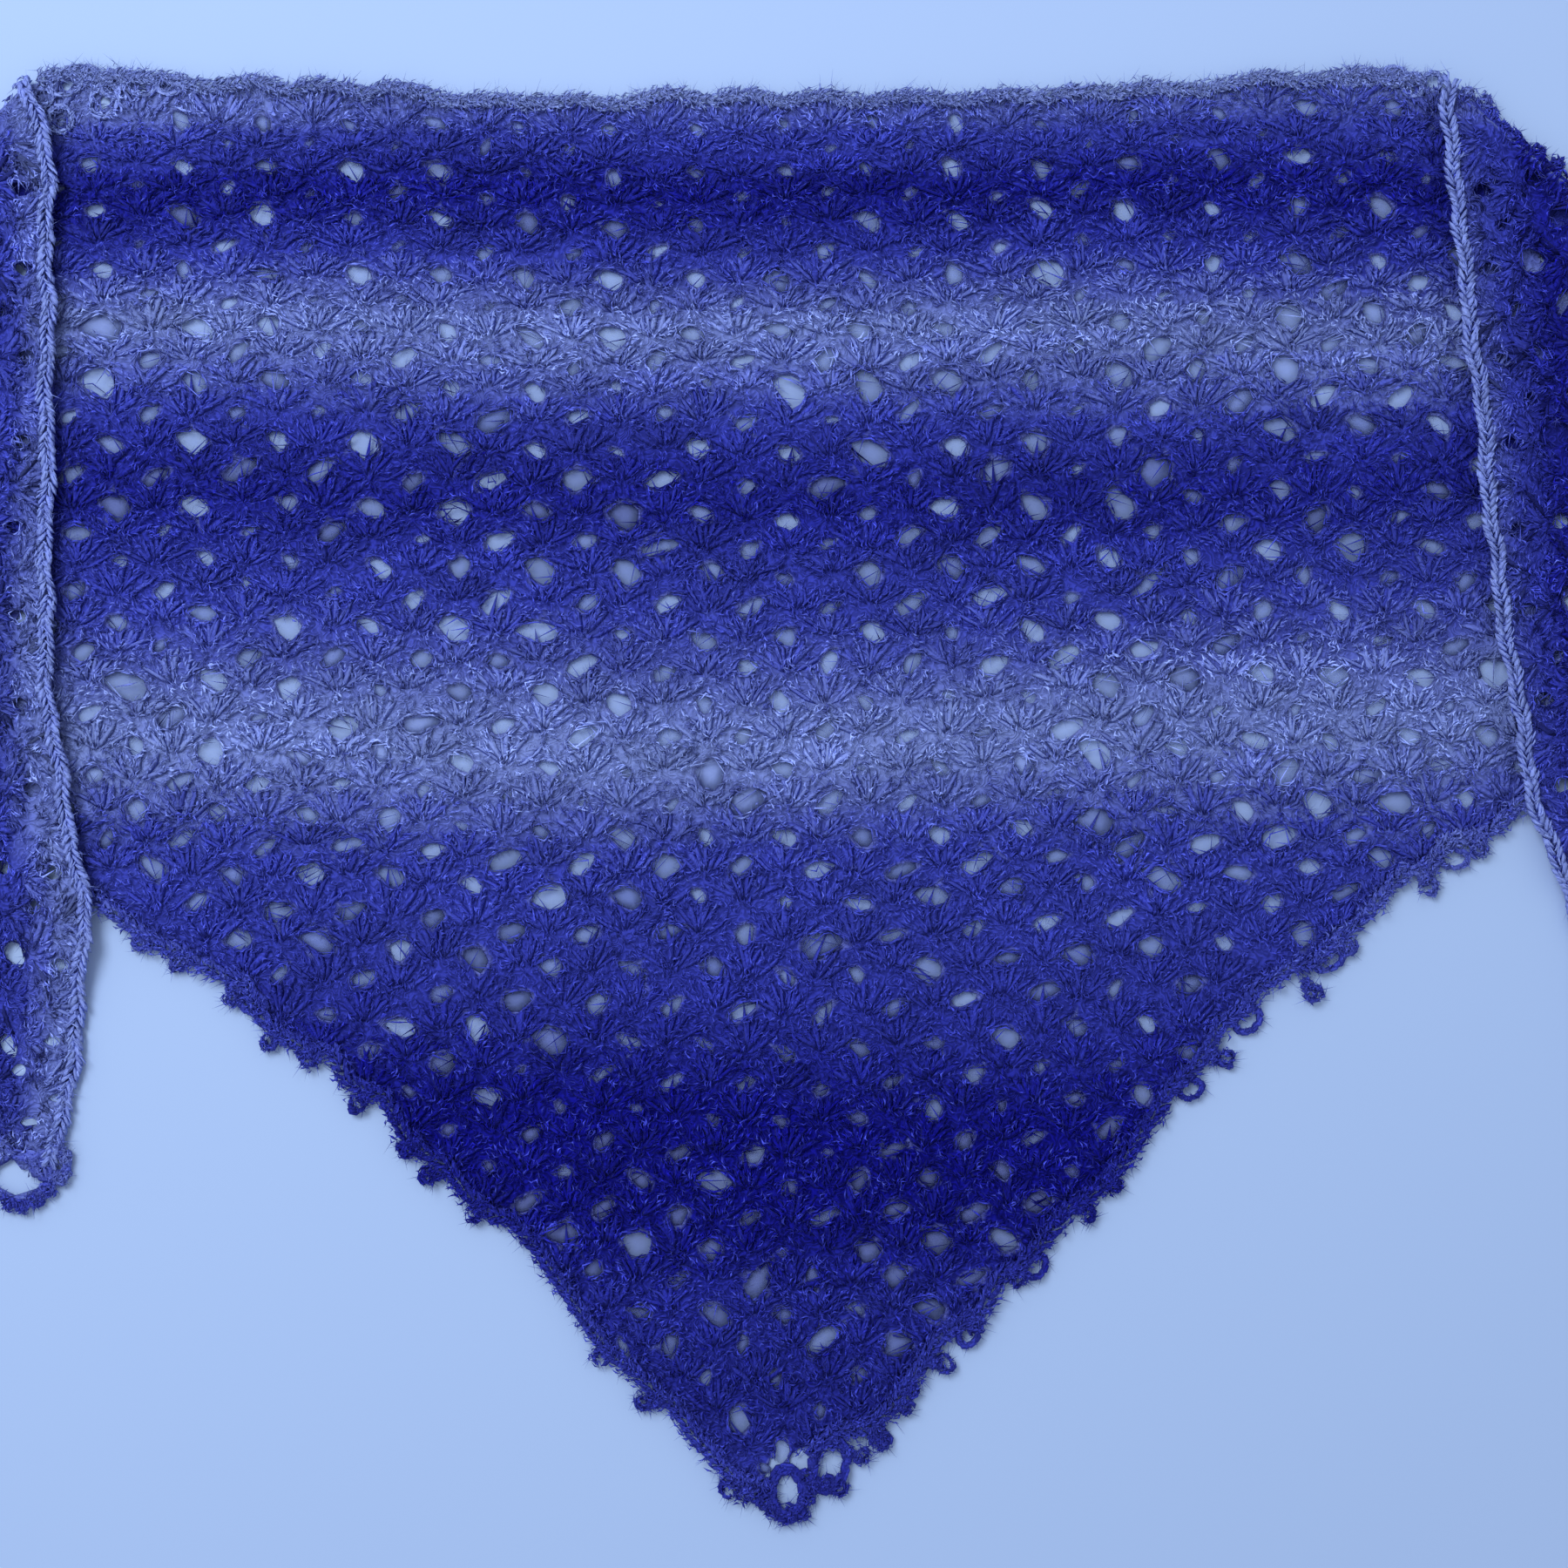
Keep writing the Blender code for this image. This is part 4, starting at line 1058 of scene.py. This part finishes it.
# ---------------------------------------------------------------------------
# The knitted ground: closed shells with the holes cut through
# ---------------------------------------------------------------------------
def clip_half(poly, fn):
    """Keep the part of a closed outline where fn(point) >= 0."""
    out = []
    n = len(poly)
    vals = [fn(p) for p in poly]
    for i in range(n):
        a, b = poly[i], poly[(i + 1) % n]
        va, vb = vals[i], vals[(i + 1) % n]
        if va >= 0:
            out.append(a)
        if (va >= 0) != (vb >= 0):
            t = va / (va - vb)
            out.append((a[0] + (b[0] - a[0]) * t, a[1] + (b[1] - a[1]) * t))
    return out


def outline(inset_low, inset_top):
    xs = np.linspace(-1.018, 0.958, 560)
    low = low_line(xs) + (inset_low - hem_run(xs)) * np.hypot(1, (low_line(xs + 0.004) - low_line(xs - 0.004)) / 0.008)
    high = scallop_top(xs) - inset_top
    ok = high - low > 0.004
    xs, low, high = xs[ok], low[ok], high[ok]
    lower = list(zip(xs, low))
    upper = list(zip(xs[::-1], high[::-1]))
    return lower + upper


SIDES = 10


def cloth(name, poly, body, low_w, high_w, along=()):
    """A closed shell over a flat outline, with its open holes."""
    poly = np.array(poly)
    keep = [0]
    for i in range(1, len(poly)):
        if np.hypot(*(poly[i] - poly[keep[-1]])) > 0.0015:
            keep.append(i)
    poly = poly[keep]
    lo, hi = poly.min(0), poly.max(0)
    pts = [tuple(p) for p in poly]
    edges = [(i, (i + 1) % len(poly)) for i in range(len(poly))]

    def within(p):
        x, y = p[:, 0], p[:, 1]
        inside = np.zeros(len(p), bool)
        a, b = poly, np.roll(poly, -1, 0)
        for (x0, y0), (x1, y1) in zip(a, b):
            cross = (y0 > y) != (y1 > y)
            with np.errstate(divide="ignore", invalid="ignore"):
                xi = (x1 - x0) * (y - y0) / (y1 - y0) + x0
            inside ^= cross & (x < xi)
        return inside

    box = (NX > lo[0]) & (NX < hi[0]) & (NY > lo[1]) & (NY < hi[1])
    r, c = np.nonzero(box & open_hole)
    centres = np.stack([NX[r, c], NY[r, c]], -1)
    ok = within(centres) if len(centres) else np.zeros(0, bool)
    r, c = r[ok], c[ok]
    turns = np.arange(SIDES) * 2 * math.pi / SIDES + 0.2
    centres_x, centres_y = NX[r, c], NY[r, c]
    sizes = (hole_wide[r, c], hole_tall[r, c], lean[r, c], hole_wave[r, c], hole_clear[r, c], hole_tip[r, c])
    if len(extra):
        ok = within(extra[:, :2])
        centres_x, centres_y = np.append(centres_x, extra[ok, 0]), np.append(centres_y, extra[ok, 1])
        more_sizes = (extra[ok, 2], extra[ok, 3], extra[ok, 4], extra_wave[ok], np.full(int(ok.sum()), 0.90), extra_tip[ok])
        sizes = tuple(np.append(a, b) for a, b in zip(sizes, more_sizes))
    A, B, TL, WV, CLR, TP = (v[:, None] for v in sizes)
    if not body:
        CLR = np.full_like(CLR, 0.95)
    hx, hy = hole_ring(centres_x[:, None], centres_y[:, None], A, B, TL, turns[None], CLR, WV, TP)
    # the haze round a hole: a ring where the cloth takes its own tone again
    ox, oy = hole_ring(centres_x[:, None], centres_y[:, None], A, B, TL, turns[None] + math.pi / SIDES, 1.20, WV, TP)
    mist_at = set()
    for i in range(len(hx)):
        start = len(pts)
        pts += list(zip(hx[i], hy[i]))
        mist_at.update(range(start, start + SIDES))
        edges += [(start + j, start + (j + 1) % SIDES) for j in range(SIDES)]
    rings = np.stack([ox.ravel(), oy.ravel()], -1)
    # stars and points between, as more points of the shell
    stars = box & ~IS_HOLE
    rs, cs = np.nonzero(stars)
    more = np.concatenate([rings, np.stack([NX[rs, cs], NY[rs, cs] - STAR_DROP], -1)])
    rl, cl = np.nonzero(box & ~IS_HOLE & (RR < LAST_ROW) & (np.abs(CC) < HALF))
    for dc in (-1, 1):
        mx = (NX[rl, cl] + NX[np.minimum(rl + 1, len(rows) - 1), cl + dc]) / 2
        my = (NY[rl, cl] + NY[np.minimum(rl + 1, len(rows) - 1), cl + dc]) / 2 - STAR_DROP
        more = np.concatenate([more, np.stack([mx, my], -1)])
    if len(along):
        more = np.concatenate([more, np.array(along)])
    ins = within(more)
    more = more[ins]
    # clear of the outline
    if len(more):
        seg = np.concatenate([poly] + [(poly + np.roll(poly, -1, 0)) / 2])
        far = np.array([np.min(np.hypot(seg[:, 0] - p[0], seg[:, 1] - p[1])) > 0.0010 for p in more])
        more = more[far]
    pts += [tuple(p) for p in more]
    vs, _, fs, origin, _, _ = delaunay_2d_cdt([Vector((float(a), float(b))) for a, b in pts], edges, [], 0, 1e-7)
    P = np.array([(v[0], v[1]) for v in vs])
    mist = np.array([1.0 if any(o in mist_at for o in from_in) else 0.0 for from_in in origin])
    F = np.array([list(f) for f in fs])
    mid = P[F].mean(1)
    good = within(mid)
    # drop the triangles inside holes
    cell = {}
    for j in range(len(centres_x)):
        for a in (-1, 0, 1):
            for b in (-1, 0, 1):
                cell.setdefault((int(centres_x[j] // 0.016) + a, int(centres_y[j] // 0.016) + b), []).append(j)
    reach = 1.6 * np.maximum(sizes[0], sizes[1]) if len(centres_x) else []
    for i in np.nonzero(good)[0]:
        x, y = mid[i]
        for j in cell.get((int(x // 0.016), int(y // 0.016)), ()):
            if math.hypot(x - centres_x[j], y - centres_y[j]) > reach[j]:
                continue
            qx, qy = hx[j], hy[j]
            inside = False
            for k in range(SIDES):
                x0, y0, x1, y1 = qx[k], qy[k], qx[(k + 1) % SIDES], qy[(k + 1) % SIDES]
                if (y0 > y) != (y1 > y) and x < (x1 - x0) * (y - y0) / (y1 - y0) + x0:
                    inside = not inside
            if inside:
                good[i] = False
                break
    F = F[good]
    used = np.unique(F)
    remap = -np.ones(len(P), int)
    remap[used] = np.arange(len(used))
    P, F, mist = P[used], remap[F], mist[used]
    area = 0.5 * np.abs(
        (P[F[:, 1], 0] - P[F[:, 0], 0]) * (P[F[:, 2], 1] - P[F[:, 0], 1])
        - (P[F[:, 2], 0] - P[F[:, 0], 0]) * (P[F[:, 1], 1] - P[F[:, 0], 1])
    )
    orient = (P[F[:, 1], 0] - P[F[:, 0], 0]) * (P[F[:, 2], 1] - P[F[:, 0], 1]) - (
        P[F[:, 2], 0] - P[F[:, 0], 0]
    ) * (P[F[:, 1], 1] - P[F[:, 0], 1])
    F = np.where((orient < 0)[:, None], F[:, ::-1], F)
    e = np.concatenate([F[:, [0, 1]], F[:, [1, 2]], F[:, [2, 0]]])
    seen = set(map(tuple, e.tolist()))
    rim = np.array([(a, b) for a, b in e.tolist() if (b, a) not in seen])
    n = len(P)
    flip = not body
    top, bottom = F, F[:, ::-1] + n
    walls = np.stack([rim[:, 0] + n, rim[:, 1] + n, rim[:, 1], rim[:, 0]], -1)
    if flip:  # the turned parts are mirrored when they turn over
        top, bottom, walls = top[:, ::-1], bottom[:, ::-1], walls[:, ::-1]
    X = np.concatenate([P[:, 0], P[:, 0]])
    Y = np.concatenate([P[:, 1], P[:, 1]])
    W = np.concatenate([np.full(n, high_w), np.full(n, low_w)])
    placed = place(X, Y, W, body)
    tone = tone_at(edge_depth(X, Y), X)
    mist = np.concatenate([mist, mist]) * (1.0 if body else 0.0)
    # the ground under the stitches is painted darker: a lower light and a fixed painted shade in the fourth channel
    colour = np.stack([tone, np.full(2 * n, 0.86), mist, np.full(2 * n, 0.42)], -1)
    ob = new_mesh(name, placed, [walls, np.concatenate([top, bottom])], colour)
    ob["flat_area"] = float(area.sum())
    size = P.max(0) - P.min(0)
    ob["flat_w"], ob["flat_l"] = float(size[0]), float(size[1])
    poly_area = 0.5 * abs(
        float(np.sum(poly[:, 0] * np.roll(poly[:, 1], -1) - np.roll(poly[:, 0], -1) * poly[:, 1]))
    )
    ob["cut_area"] = poly_area
    ob["tri_count"] = int(len(F) * 2 + len(walls) * 2)
    return ob


def along_fold(side):
    """Points for the bend's curve, close across it."""
    corner, along, out = frame_of(side)
    pts = []
    for k in range(1, 12):
        for t in np.arange(-0.02, 0.46, 0.010):
            p = corner + along * t + out * (BEND_LENGTH * k / 12)
            pts.append((p[0], p[1]))
    return pts


whole = outline(0.0054, 0.0036)
body_poly = whole
for s in (-1, 1):
    body_poly = clip_half(body_poly, lambda p, s=s: -GAP / 2 - float(past_fold(p[0], p[1], s)))
body_cloth = cloth("body_cloth", body_poly, True, 0.0, 0.0016)
pieces["body_cloth"] = body_cloth
for s, name in ((-1, "left"), (1, "right")):
    half = clip_half(whole, lambda p, s=s: s * p[0] - 0.05)
    wing = clip_half(half, lambda p, s=s: float(past_fold(p[0], p[1], s)) - BEND_LENGTH - GAP / 2)
    bend = clip_half(half, lambda p, s=s: float(past_fold(p[0], p[1], s)) - GAP / 2)
    bend = clip_half(bend, lambda p, s=s: BEND_LENGTH - GAP / 2 - float(past_fold(p[0], p[1], s)))
    pieces["wing_cloth_" + name] = cloth("wing_cloth_" + name, wing, False, 0.0004, 0.0018)
    pieces["fold_cloth_" + name] = cloth("fold_cloth_" + name, bend, False, 0.0004, 0.0018, along_fold(s))

for part in range(BODY_PARTS):
    hole_mask = (PAST_OWN < 0) & (body_band == part) & ~covered(NX, NY, 0.020)
    ob = build_strands(("body", part), f"body_stitches_{part + 1}", True, 0.12, (0.0035, 0.0080), 3, (hole_mask, 12))
    pieces[ob.name] = ob
for side, name in ((-1, "left"), (1, "right")):
    hole_mask = (PAST_OWN > 0) & (SIDE == side)
    ob = build_strands(("wing", name), f"wing_stitches_{name}", False, 0.12, (0.0035, 0.0080), 3, (hole_mask, 8))
    pieces[ob.name] = ob

for key, name, body, hairs in (
    (("top", 0), "top_scallops", True, 0.9),
    (("chain", "left"), "chain_left", False, 0.5),
    (("chain", "right"), "chain_right", False, 0.5),
    (("hem", "left"), "hem_left", True, 0.9),
    (("hem", "right"), "hem_right", True, 0.9),
    (("wing_hem", "left"), "wing_hem_left", False, 0.8),
    (("wing_hem", "right"), "wing_hem_right", False, 0.8),
):
    pieces[name] = build_strands(key, name, body, hairs, (0.0040, 0.0095))

def halo_lenses():
    """The haze of the finest hairs over the body's openings, which are too thin
    to model one by one: a flat lens in each, in three strengths."""
    gen = np.random.default_rng(88)
    r, c = np.nonzero(open_hole & (PAST_OWN < 0) & ~covered(NX, NY, 0.020))
    x, y = NX[r, c], NY[r, c]
    sizes = [hole_wide[r, c], hole_tall[r, c], lean[r, c], hole_clear[r, c], hole_wave[r, c], hole_tip[r, c]]
    row = rows[r]
    own = np.arange(3, len(OPENINGS))  # the corner's first openings are clear
    x, y = np.append(x, extra[own, 0]), np.append(y, extra[own, 1])
    more = [extra[own, 2], extra[own, 3], extra[own, 4], np.full(len(own), 0.90), extra_wave[own], extra_tip[own]]
    sizes = [np.append(a, b) for a, b in zip(sizes, more)]
    row = np.append(row, np.where(own < 8, 0, 44))
    dense = np.interp(row, (0, 6, 8, 14, 20, 26, 30, 34, 44), (0.45, 0.14, 0.08, 0.10, 0.12, 0.16, 0.40, 0.62, 0.75))
    thin = np.interp(row, (0, 6, 8, 14, 20, 26, 30, 34, 44), (0.10, 0.50, 0.46, 0.42, 0.46, 0.40, 0.14, 0.04, 0.02))
    dense, thin = dense + 0.14 * (row % 2), np.maximum(thin - 0.16 * (row % 2), 0)
    chance = gen.random(len(x))
    strength = np.where(chance < thin, 0, np.where(chance < 1 - dense, 1, 2))
    A, B, TL, CLR, WV, TP = (v[:, None] for v in sizes)
    turns = np.arange(SIDES) * 2 * math.pi / SIDES + 0.2
    hx, hy = hole_ring(x[:, None], y[:, None], A, B, TL, turns[None], CLR * 1.10, WV, TP)
    n = len(x)
    ring = np.stack([hx, hy, np.full_like(hx, 0.0018)], -1)
    mid = np.stack([x, y, np.full(n, 0.0021)], -1)[:, None]
    low = np.stack([x, y, np.full(n, 0.0012)], -1)[:, None]
    flat = np.concatenate([ring, mid, low], 1).reshape(-1, 3)
    base = np.arange(n)[:, None, None] * (SIDES + 2)
    fan = np.array([[j, (j + 1) % SIDES, SIDES] for j in range(SIDES)] + [[(j + 1) % SIDES, j, SIDES + 1] for j in range(SIDES)])
    tris = (base + fan[None]).reshape(-1, 3)
    tone = np.repeat(tone_at(edge_depth(x, y), x), SIDES + 2)
    light = np.repeat(gen.normal(1.0, 0.10, n), SIDES + 2)
    zero = np.zeros_like(tone)
    ob = new_mesh("yarn_halo", place(flat[:, 0], flat[:, 1], flat[:, 2], True), [tris], np.stack([tone, light, zero, zero], -1))
    ob["tri_count"] = len(tris)
    ob.data.polygons.foreach_set("material_index", np.repeat(strength, 2 * SIDES).astype(np.int32))
    return ob


pieces["yarn_halo"] = halo_lenses()
for ob in pieces.values():
    print("piece", ob.name, "tris", ob.get("tri_count"), "flat", ob.get("flat_w"), ob.get("flat_l"), ob.get("flat_area"))


# ---------------------------------------------------------------------------
# Materials
# ---------------------------------------------------------------------------
def yarn_material(name, dark, mid, light, depth_of_shade=0.62, bump=0.35, hairs=0.26, alpha=1.0):
    mat = bpy.data.materials.new(name)
    mat.use_nodes = True
    nt = mat.node_tree
    nt.nodes.clear()
    out = nt.nodes.new("ShaderNodeOutputMaterial")
    bsdf = nt.nodes.new("ShaderNodeBsdfPrincipled")
    attr = nt.nodes.new("ShaderNodeAttribute")
    attr.attribute_name = "yarn"
    sep = nt.nodes.new("ShaderNodeSeparateColor")
    nt.links.new(attr.outputs["Color"], sep.inputs["Color"])
    coord = nt.nodes.new("ShaderNodeTexCoord")
    # curly hairs: the level lines of two soft noises, in turn
    curls = []
    for shift in ((0.0, 0.0, 0.0), (3.1, 7.7, 1.3)):
        move = nt.nodes.new("ShaderNodeVectorMath")
        move.operation = "ADD"
        move.inputs[1].default_value = shift
        nt.links.new(coord.outputs["Object"], move.inputs[0])
        soft = nt.nodes.new("ShaderNodeTexNoise")
        soft.inputs["Scale"].default_value = 105.0
        soft.inputs["Detail"].default_value = 1.2
        nt.links.new(move.outputs[0], soft.inputs["Vector"])
        turns = nt.nodes.new("ShaderNodeMath")
        turns.operation = "MULTIPLY"
        turns.inputs[1].default_value = 2 * math.pi * 10
        nt.links.new(soft.outputs["Fac"], turns.inputs[0])
        wave = nt.nodes.new("ShaderNodeMath")
        wave.operation = "SINE"
        nt.links.new(turns.outputs[0], wave.inputs[0])
        curls.append(wave)
    pick = nt.nodes.new("ShaderNodeTexNoise")
    pick.inputs["Scale"].default_value = 260.0
    pick.inputs["Detail"].default_value = 1.0
    nt.links.new(coord.outputs["Object"], pick.inputs["Vector"])
    which = nt.nodes.new("ShaderNodeMapRange")
    which.interpolation_type = "SMOOTHSTEP"
    which.inputs["From Min"].default_value = 0.44
    which.inputs["From Max"].default_value = 0.56
    nt.links.new(pick.outputs["Fac"], which.inputs["Value"])
    fibre = nt.nodes.new("ShaderNodeMix")
    fibre.data_type = "FLOAT"
    nt.links.new(which.outputs["Result"], fibre.inputs[0])
    nt.links.new(curls[0].outputs[0], fibre.inputs[2])
    nt.links.new(curls[1].outputs[0], fibre.inputs[3])
    heather = nt.nodes.new("ShaderNodeTexNoise")
    heather.inputs["Scale"].default_value = 160.0
    heather.inputs["Detail"].default_value = 2.0
    nt.links.new(coord.outputs["Object"], heather.inputs["Vector"])
    # tone, a little uneven along the yarn
    uneven = nt.nodes.new("ShaderNodeMath")
    uneven.operation = "MULTIPLY_ADD"
    uneven.inputs[1].default_value = 0.14
    uneven.inputs[2].default_value = -0.07
    nt.links.new(heather.outputs["Fac"], uneven.inputs[0])
    tone = nt.nodes.new("ShaderNodeMath")
    tone.operation = "ADD"
    tone.use_clamp = True
    nt.links.new(sep.outputs["Red"], tone.inputs[0])
    nt.links.new(uneven.outputs[0], tone.inputs[1])
    ramp = nt.nodes.new("ShaderNodeValToRGB")
    ramp.color_ramp.elements[0].position = 0.0
    ramp.color_ramp.elements[0].color = (*dark, 1)
    ramp.color_ramp.elements[1].position = 1.0
    ramp.color_ramp.elements[1].color = (*light, 1)
    e = ramp.color_ramp.elements.new(0.5)
    e.color = (*mid, 1)
    nt.links.new(tone.outputs[0], ramp.inputs["Fac"])
    # brightness: each strand's own and the fibre's; the painted shade comes below
    play = nt.nodes.new("ShaderNodeMath")  # less where the yarn is pale
    play.operation = "MULTIPLY_ADD"
    play.inputs[1].default_value = -0.75 * hairs
    play.inputs[2].default_value = hairs
    nt.links.new(tone.outputs[0], play.inputs[0])
    swing = nt.nodes.new("ShaderNodeMath")
    swing.operation = "MULTIPLY"
    nt.links.new(fibre.outputs[0], swing.inputs[0])
    nt.links.new(play.outputs[0], swing.inputs[1])
    fleck = nt.nodes.new("ShaderNodeMath")
    fleck.operation = "ADD"
    fleck.inputs[1].default_value = 1.0
    nt.links.new(swing.outputs[0], fleck.inputs[0])
    own = nt.nodes.new("ShaderNodeMath")
    own.operation = "MULTIPLY"
    nt.links.new(sep.outputs["Green"], own.inputs[0])
    nt.links.new(fleck.outputs[0], own.inputs[1])
    # painted shade: darker, and bluer, by the attribute's fourth channel, and less where the yarn is pale
    shade = nt.nodes.new("ShaderNodeVectorMath")
    shade.operation = "MULTIPLY_ADD"
    shade.inputs[1].default_value = (-depth_of_shade, -depth_of_shade, -0.50 * depth_of_shade)
    shade.inputs[2].default_value = (1.0, 1.0, 1.0)
    less = nt.nodes.new("ShaderNodeMath")
    less.operation = "MULTIPLY_ADD"
    less.inputs[1].default_value = -0.62
    less.inputs[2].default_value = 1.0
    nt.links.new(tone.outputs[0], less.inputs[0])
    down = nt.nodes.new("ShaderNodeMath")
    down.operation = "MULTIPLY"
    nt.links.new(attr.outputs["Alpha"], down.inputs[0])
    nt.links.new(less.outputs[0], down.inputs[1])
    nt.links.new(down.outputs[0], shade.inputs[0])
    tinted = nt.nodes.new("ShaderNodeVectorMath")
    tinted.operation = "MULTIPLY"
    nt.links.new(ramp.outputs["Color"], tinted.inputs[0])
    nt.links.new(shade.outputs[0], tinted.inputs[1])
    colour = nt.nodes.new("ShaderNodeVectorMath")
    colour.operation = "SCALE"
    nt.links.new(tinted.outputs[0], colour.inputs[0])
    nt.links.new(own.outputs[0], colour.inputs["Scale"])
    # the haze of fine hairs at the holes
    haze = nt.nodes.new("ShaderNodeMapRange")
    haze.inputs["From Min"].default_value = -1.0
    haze.inputs["From Max"].default_value = 1.0
    haze.inputs["To Min"].default_value = 0.55
    haze.inputs["To Max"].default_value = 0.95
    nt.links.new(fibre.outputs[0], haze.inputs["Value"])
    share = nt.nodes.new("ShaderNodeMath")
    share.operation = "MULTIPLY"
    nt.links.new(sep.outputs["Blue"], share.inputs[0])
    nt.links.new(haze.outputs["Result"], share.inputs[1])
    hazed = nt.nodes.new("ShaderNodeMix")
    hazed.data_type = "RGBA"
    hazed.inputs[7].default_value = (*HAZE, 1)
    nt.links.new(share.outputs[0], hazed.inputs[0])
    nt.links.new(colour.outputs[0], hazed.inputs[6])
    nt.links.new(hazed.outputs[2], bsdf.inputs["Base Color"])
    rough = nt.nodes.new("ShaderNodeMapRange")
    rough.inputs["From Min"].default_value = -1.0
    rough.inputs["To Min"].default_value = 0.82
    rough.inputs["To Max"].default_value = 1.0
    nt.links.new(fibre.outputs[0], rough.inputs["Value"])
    nt.links.new(rough.outputs["Result"], bsdf.inputs["Roughness"])
    bsdf.inputs["Alpha"].default_value = alpha
    bsdf.inputs["Specular IOR Level"].default_value = 0.03
    bsdf.inputs["Sheen Weight"].default_value = 0.12
    bsdf.inputs["Sheen Roughness"].default_value = 0.55
    bsdf.inputs["Sheen Tint"].default_value = (0.16, 0.20, 1.0, 1)
    bm = nt.nodes.new("ShaderNodeBump")
    bm.inputs["Strength"].default_value = bump
    bm.inputs["Distance"].default_value = 0.0004
    nt.links.new(fibre.outputs[0], bm.inputs["Height"])
    nt.links.new(bm.outputs["Normal"], bsdf.inputs["Normal"])
    nt.links.new(bsdf.outputs["BSDF"], out.inputs["Surface"])
    return mat


DARK = (0.0062, 0.0068, 0.250)
MID = (0.049, 0.068, 0.456)
LIGHT = (0.213, 0.292, 0.676)
HAZE = (0.140, 0.180, 0.520)
gradient = yarn_material("gradient_yarn_brushed", DARK, MID, LIGHT)
ground = yarn_material("gradient_yarn_ground", DARK, MID, LIGHT, 0.62, 0.8, 0.42)
haze = [
    yarn_material("yarn_halo_" + word, (0.084, 0.106, 0.345), (0.148, 0.208, 0.550), (0.255, 0.348, 0.730), 0.0, 0.1, 0.08, share)
    for word, share in (("thin", 0.12), ("even", 0.26), ("dense", 0.46))
]
for name, ob in pieces.items():
    for mat in haze if name == "yarn_halo" else [ground if "cloth" in name else gradient]:
        ob.data.materials.append(mat)

# ---------------------------------------------------------------------------
# The frame's names
# ---------------------------------------------------------------------------
for name, ob in pieces.items():
    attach(ob, "root")
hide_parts("body_panel")
for i in range(BODY_PARTS):
    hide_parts("body_panel")
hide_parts("body_panel")
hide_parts("top_edging")
for side in ("left", "right"):
    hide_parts("wing_" + side)
    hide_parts("wing_" + side, "fold_" + side)
    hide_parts("fold_" + side)
    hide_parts("wing_chain_" + side)
    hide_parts("picot_edging_" + side)
    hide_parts("wing_picot_" + side)


def declare(ob):
    w, l, a = ob["flat_w"], ob["flat_l"], ob["cut_area"]
    if a < 0.301 * w * l:  # a slanting strip: its own length and width
        l = math.hypot(w, l)
        w = a / l
        a = None


declare(
    pieces["body_cloth"],
)
for side in ("left", "right"):
    declare(
        pieces["wing_cloth_" + side],
    )
    declare(pieces["fold_cloth_" + side])

# ---------------------------------------------------------------------------
# Floor, light and camera
# ---------------------------------------------------------------------------
bpy.ops.mesh.primitive_plane_add(size=6.0, location=(0, 0, -0.0002))
floor = bpy.context.object
floor.name = "floor"
fm = bpy.data.materials.new("pale_floor")
fm.use_nodes = True
fb = fm.node_tree.nodes["Principled BSDF"]
fb.inputs["Base Color"].default_value = (0.322, 0.455, 0.750, 1)
fb.inputs["Roughness"].default_value = 0.9
fb.inputs["Specular IOR Level"].default_value = 0.1
floor.data.materials.append(fm)

scene = bpy.context.scene
scene.view_settings.view_transform = "Standard"
scene.view_settings.look = "None"
world = bpy.data.worlds.new("studio")
scene.world = world
world.use_nodes = True
world.node_tree.nodes["Background"].inputs["Color"].default_value = (0.97, 0.985, 1.0, 1)
world.node_tree.nodes["Background"].inputs["Strength"].default_value = 0.63


def area_light(name, where, target, size, power, colour):
    data = bpy.data.lights.new(name, "AREA")
    data.shape = "DISK"
    data.size = size
    data.energy = power
    data.color = colour
    ob = bpy.data.objects.new(name, data)
    scene.collection.objects.link(ob)
    ob.location = where
    ob.rotation_euler = (Vector(target) - Vector(where)).to_track_quat("-Z", "Y").to_euler()
    return ob


area_light("key", (-0.95, 1.05, 2.1), (0, 0.05, 0), 1.3, 50, (1.0, 1.0, 1.0))

cam_data = bpy.data.cameras.new("camera")
cam = bpy.data.objects.new("camera", cam_data)
scene.collection.objects.link(cam)
cam_data.sensor_width = 36
cam_data.lens = 50
cam.location = (0.0084, 0.0036, 0.864 * 50 / 36 + 0.003)
cam.rotation_euler = (0, 0, 0)
cam_data.clip_start, cam_data.clip_end = 0.05, 20
scene.camera = cam
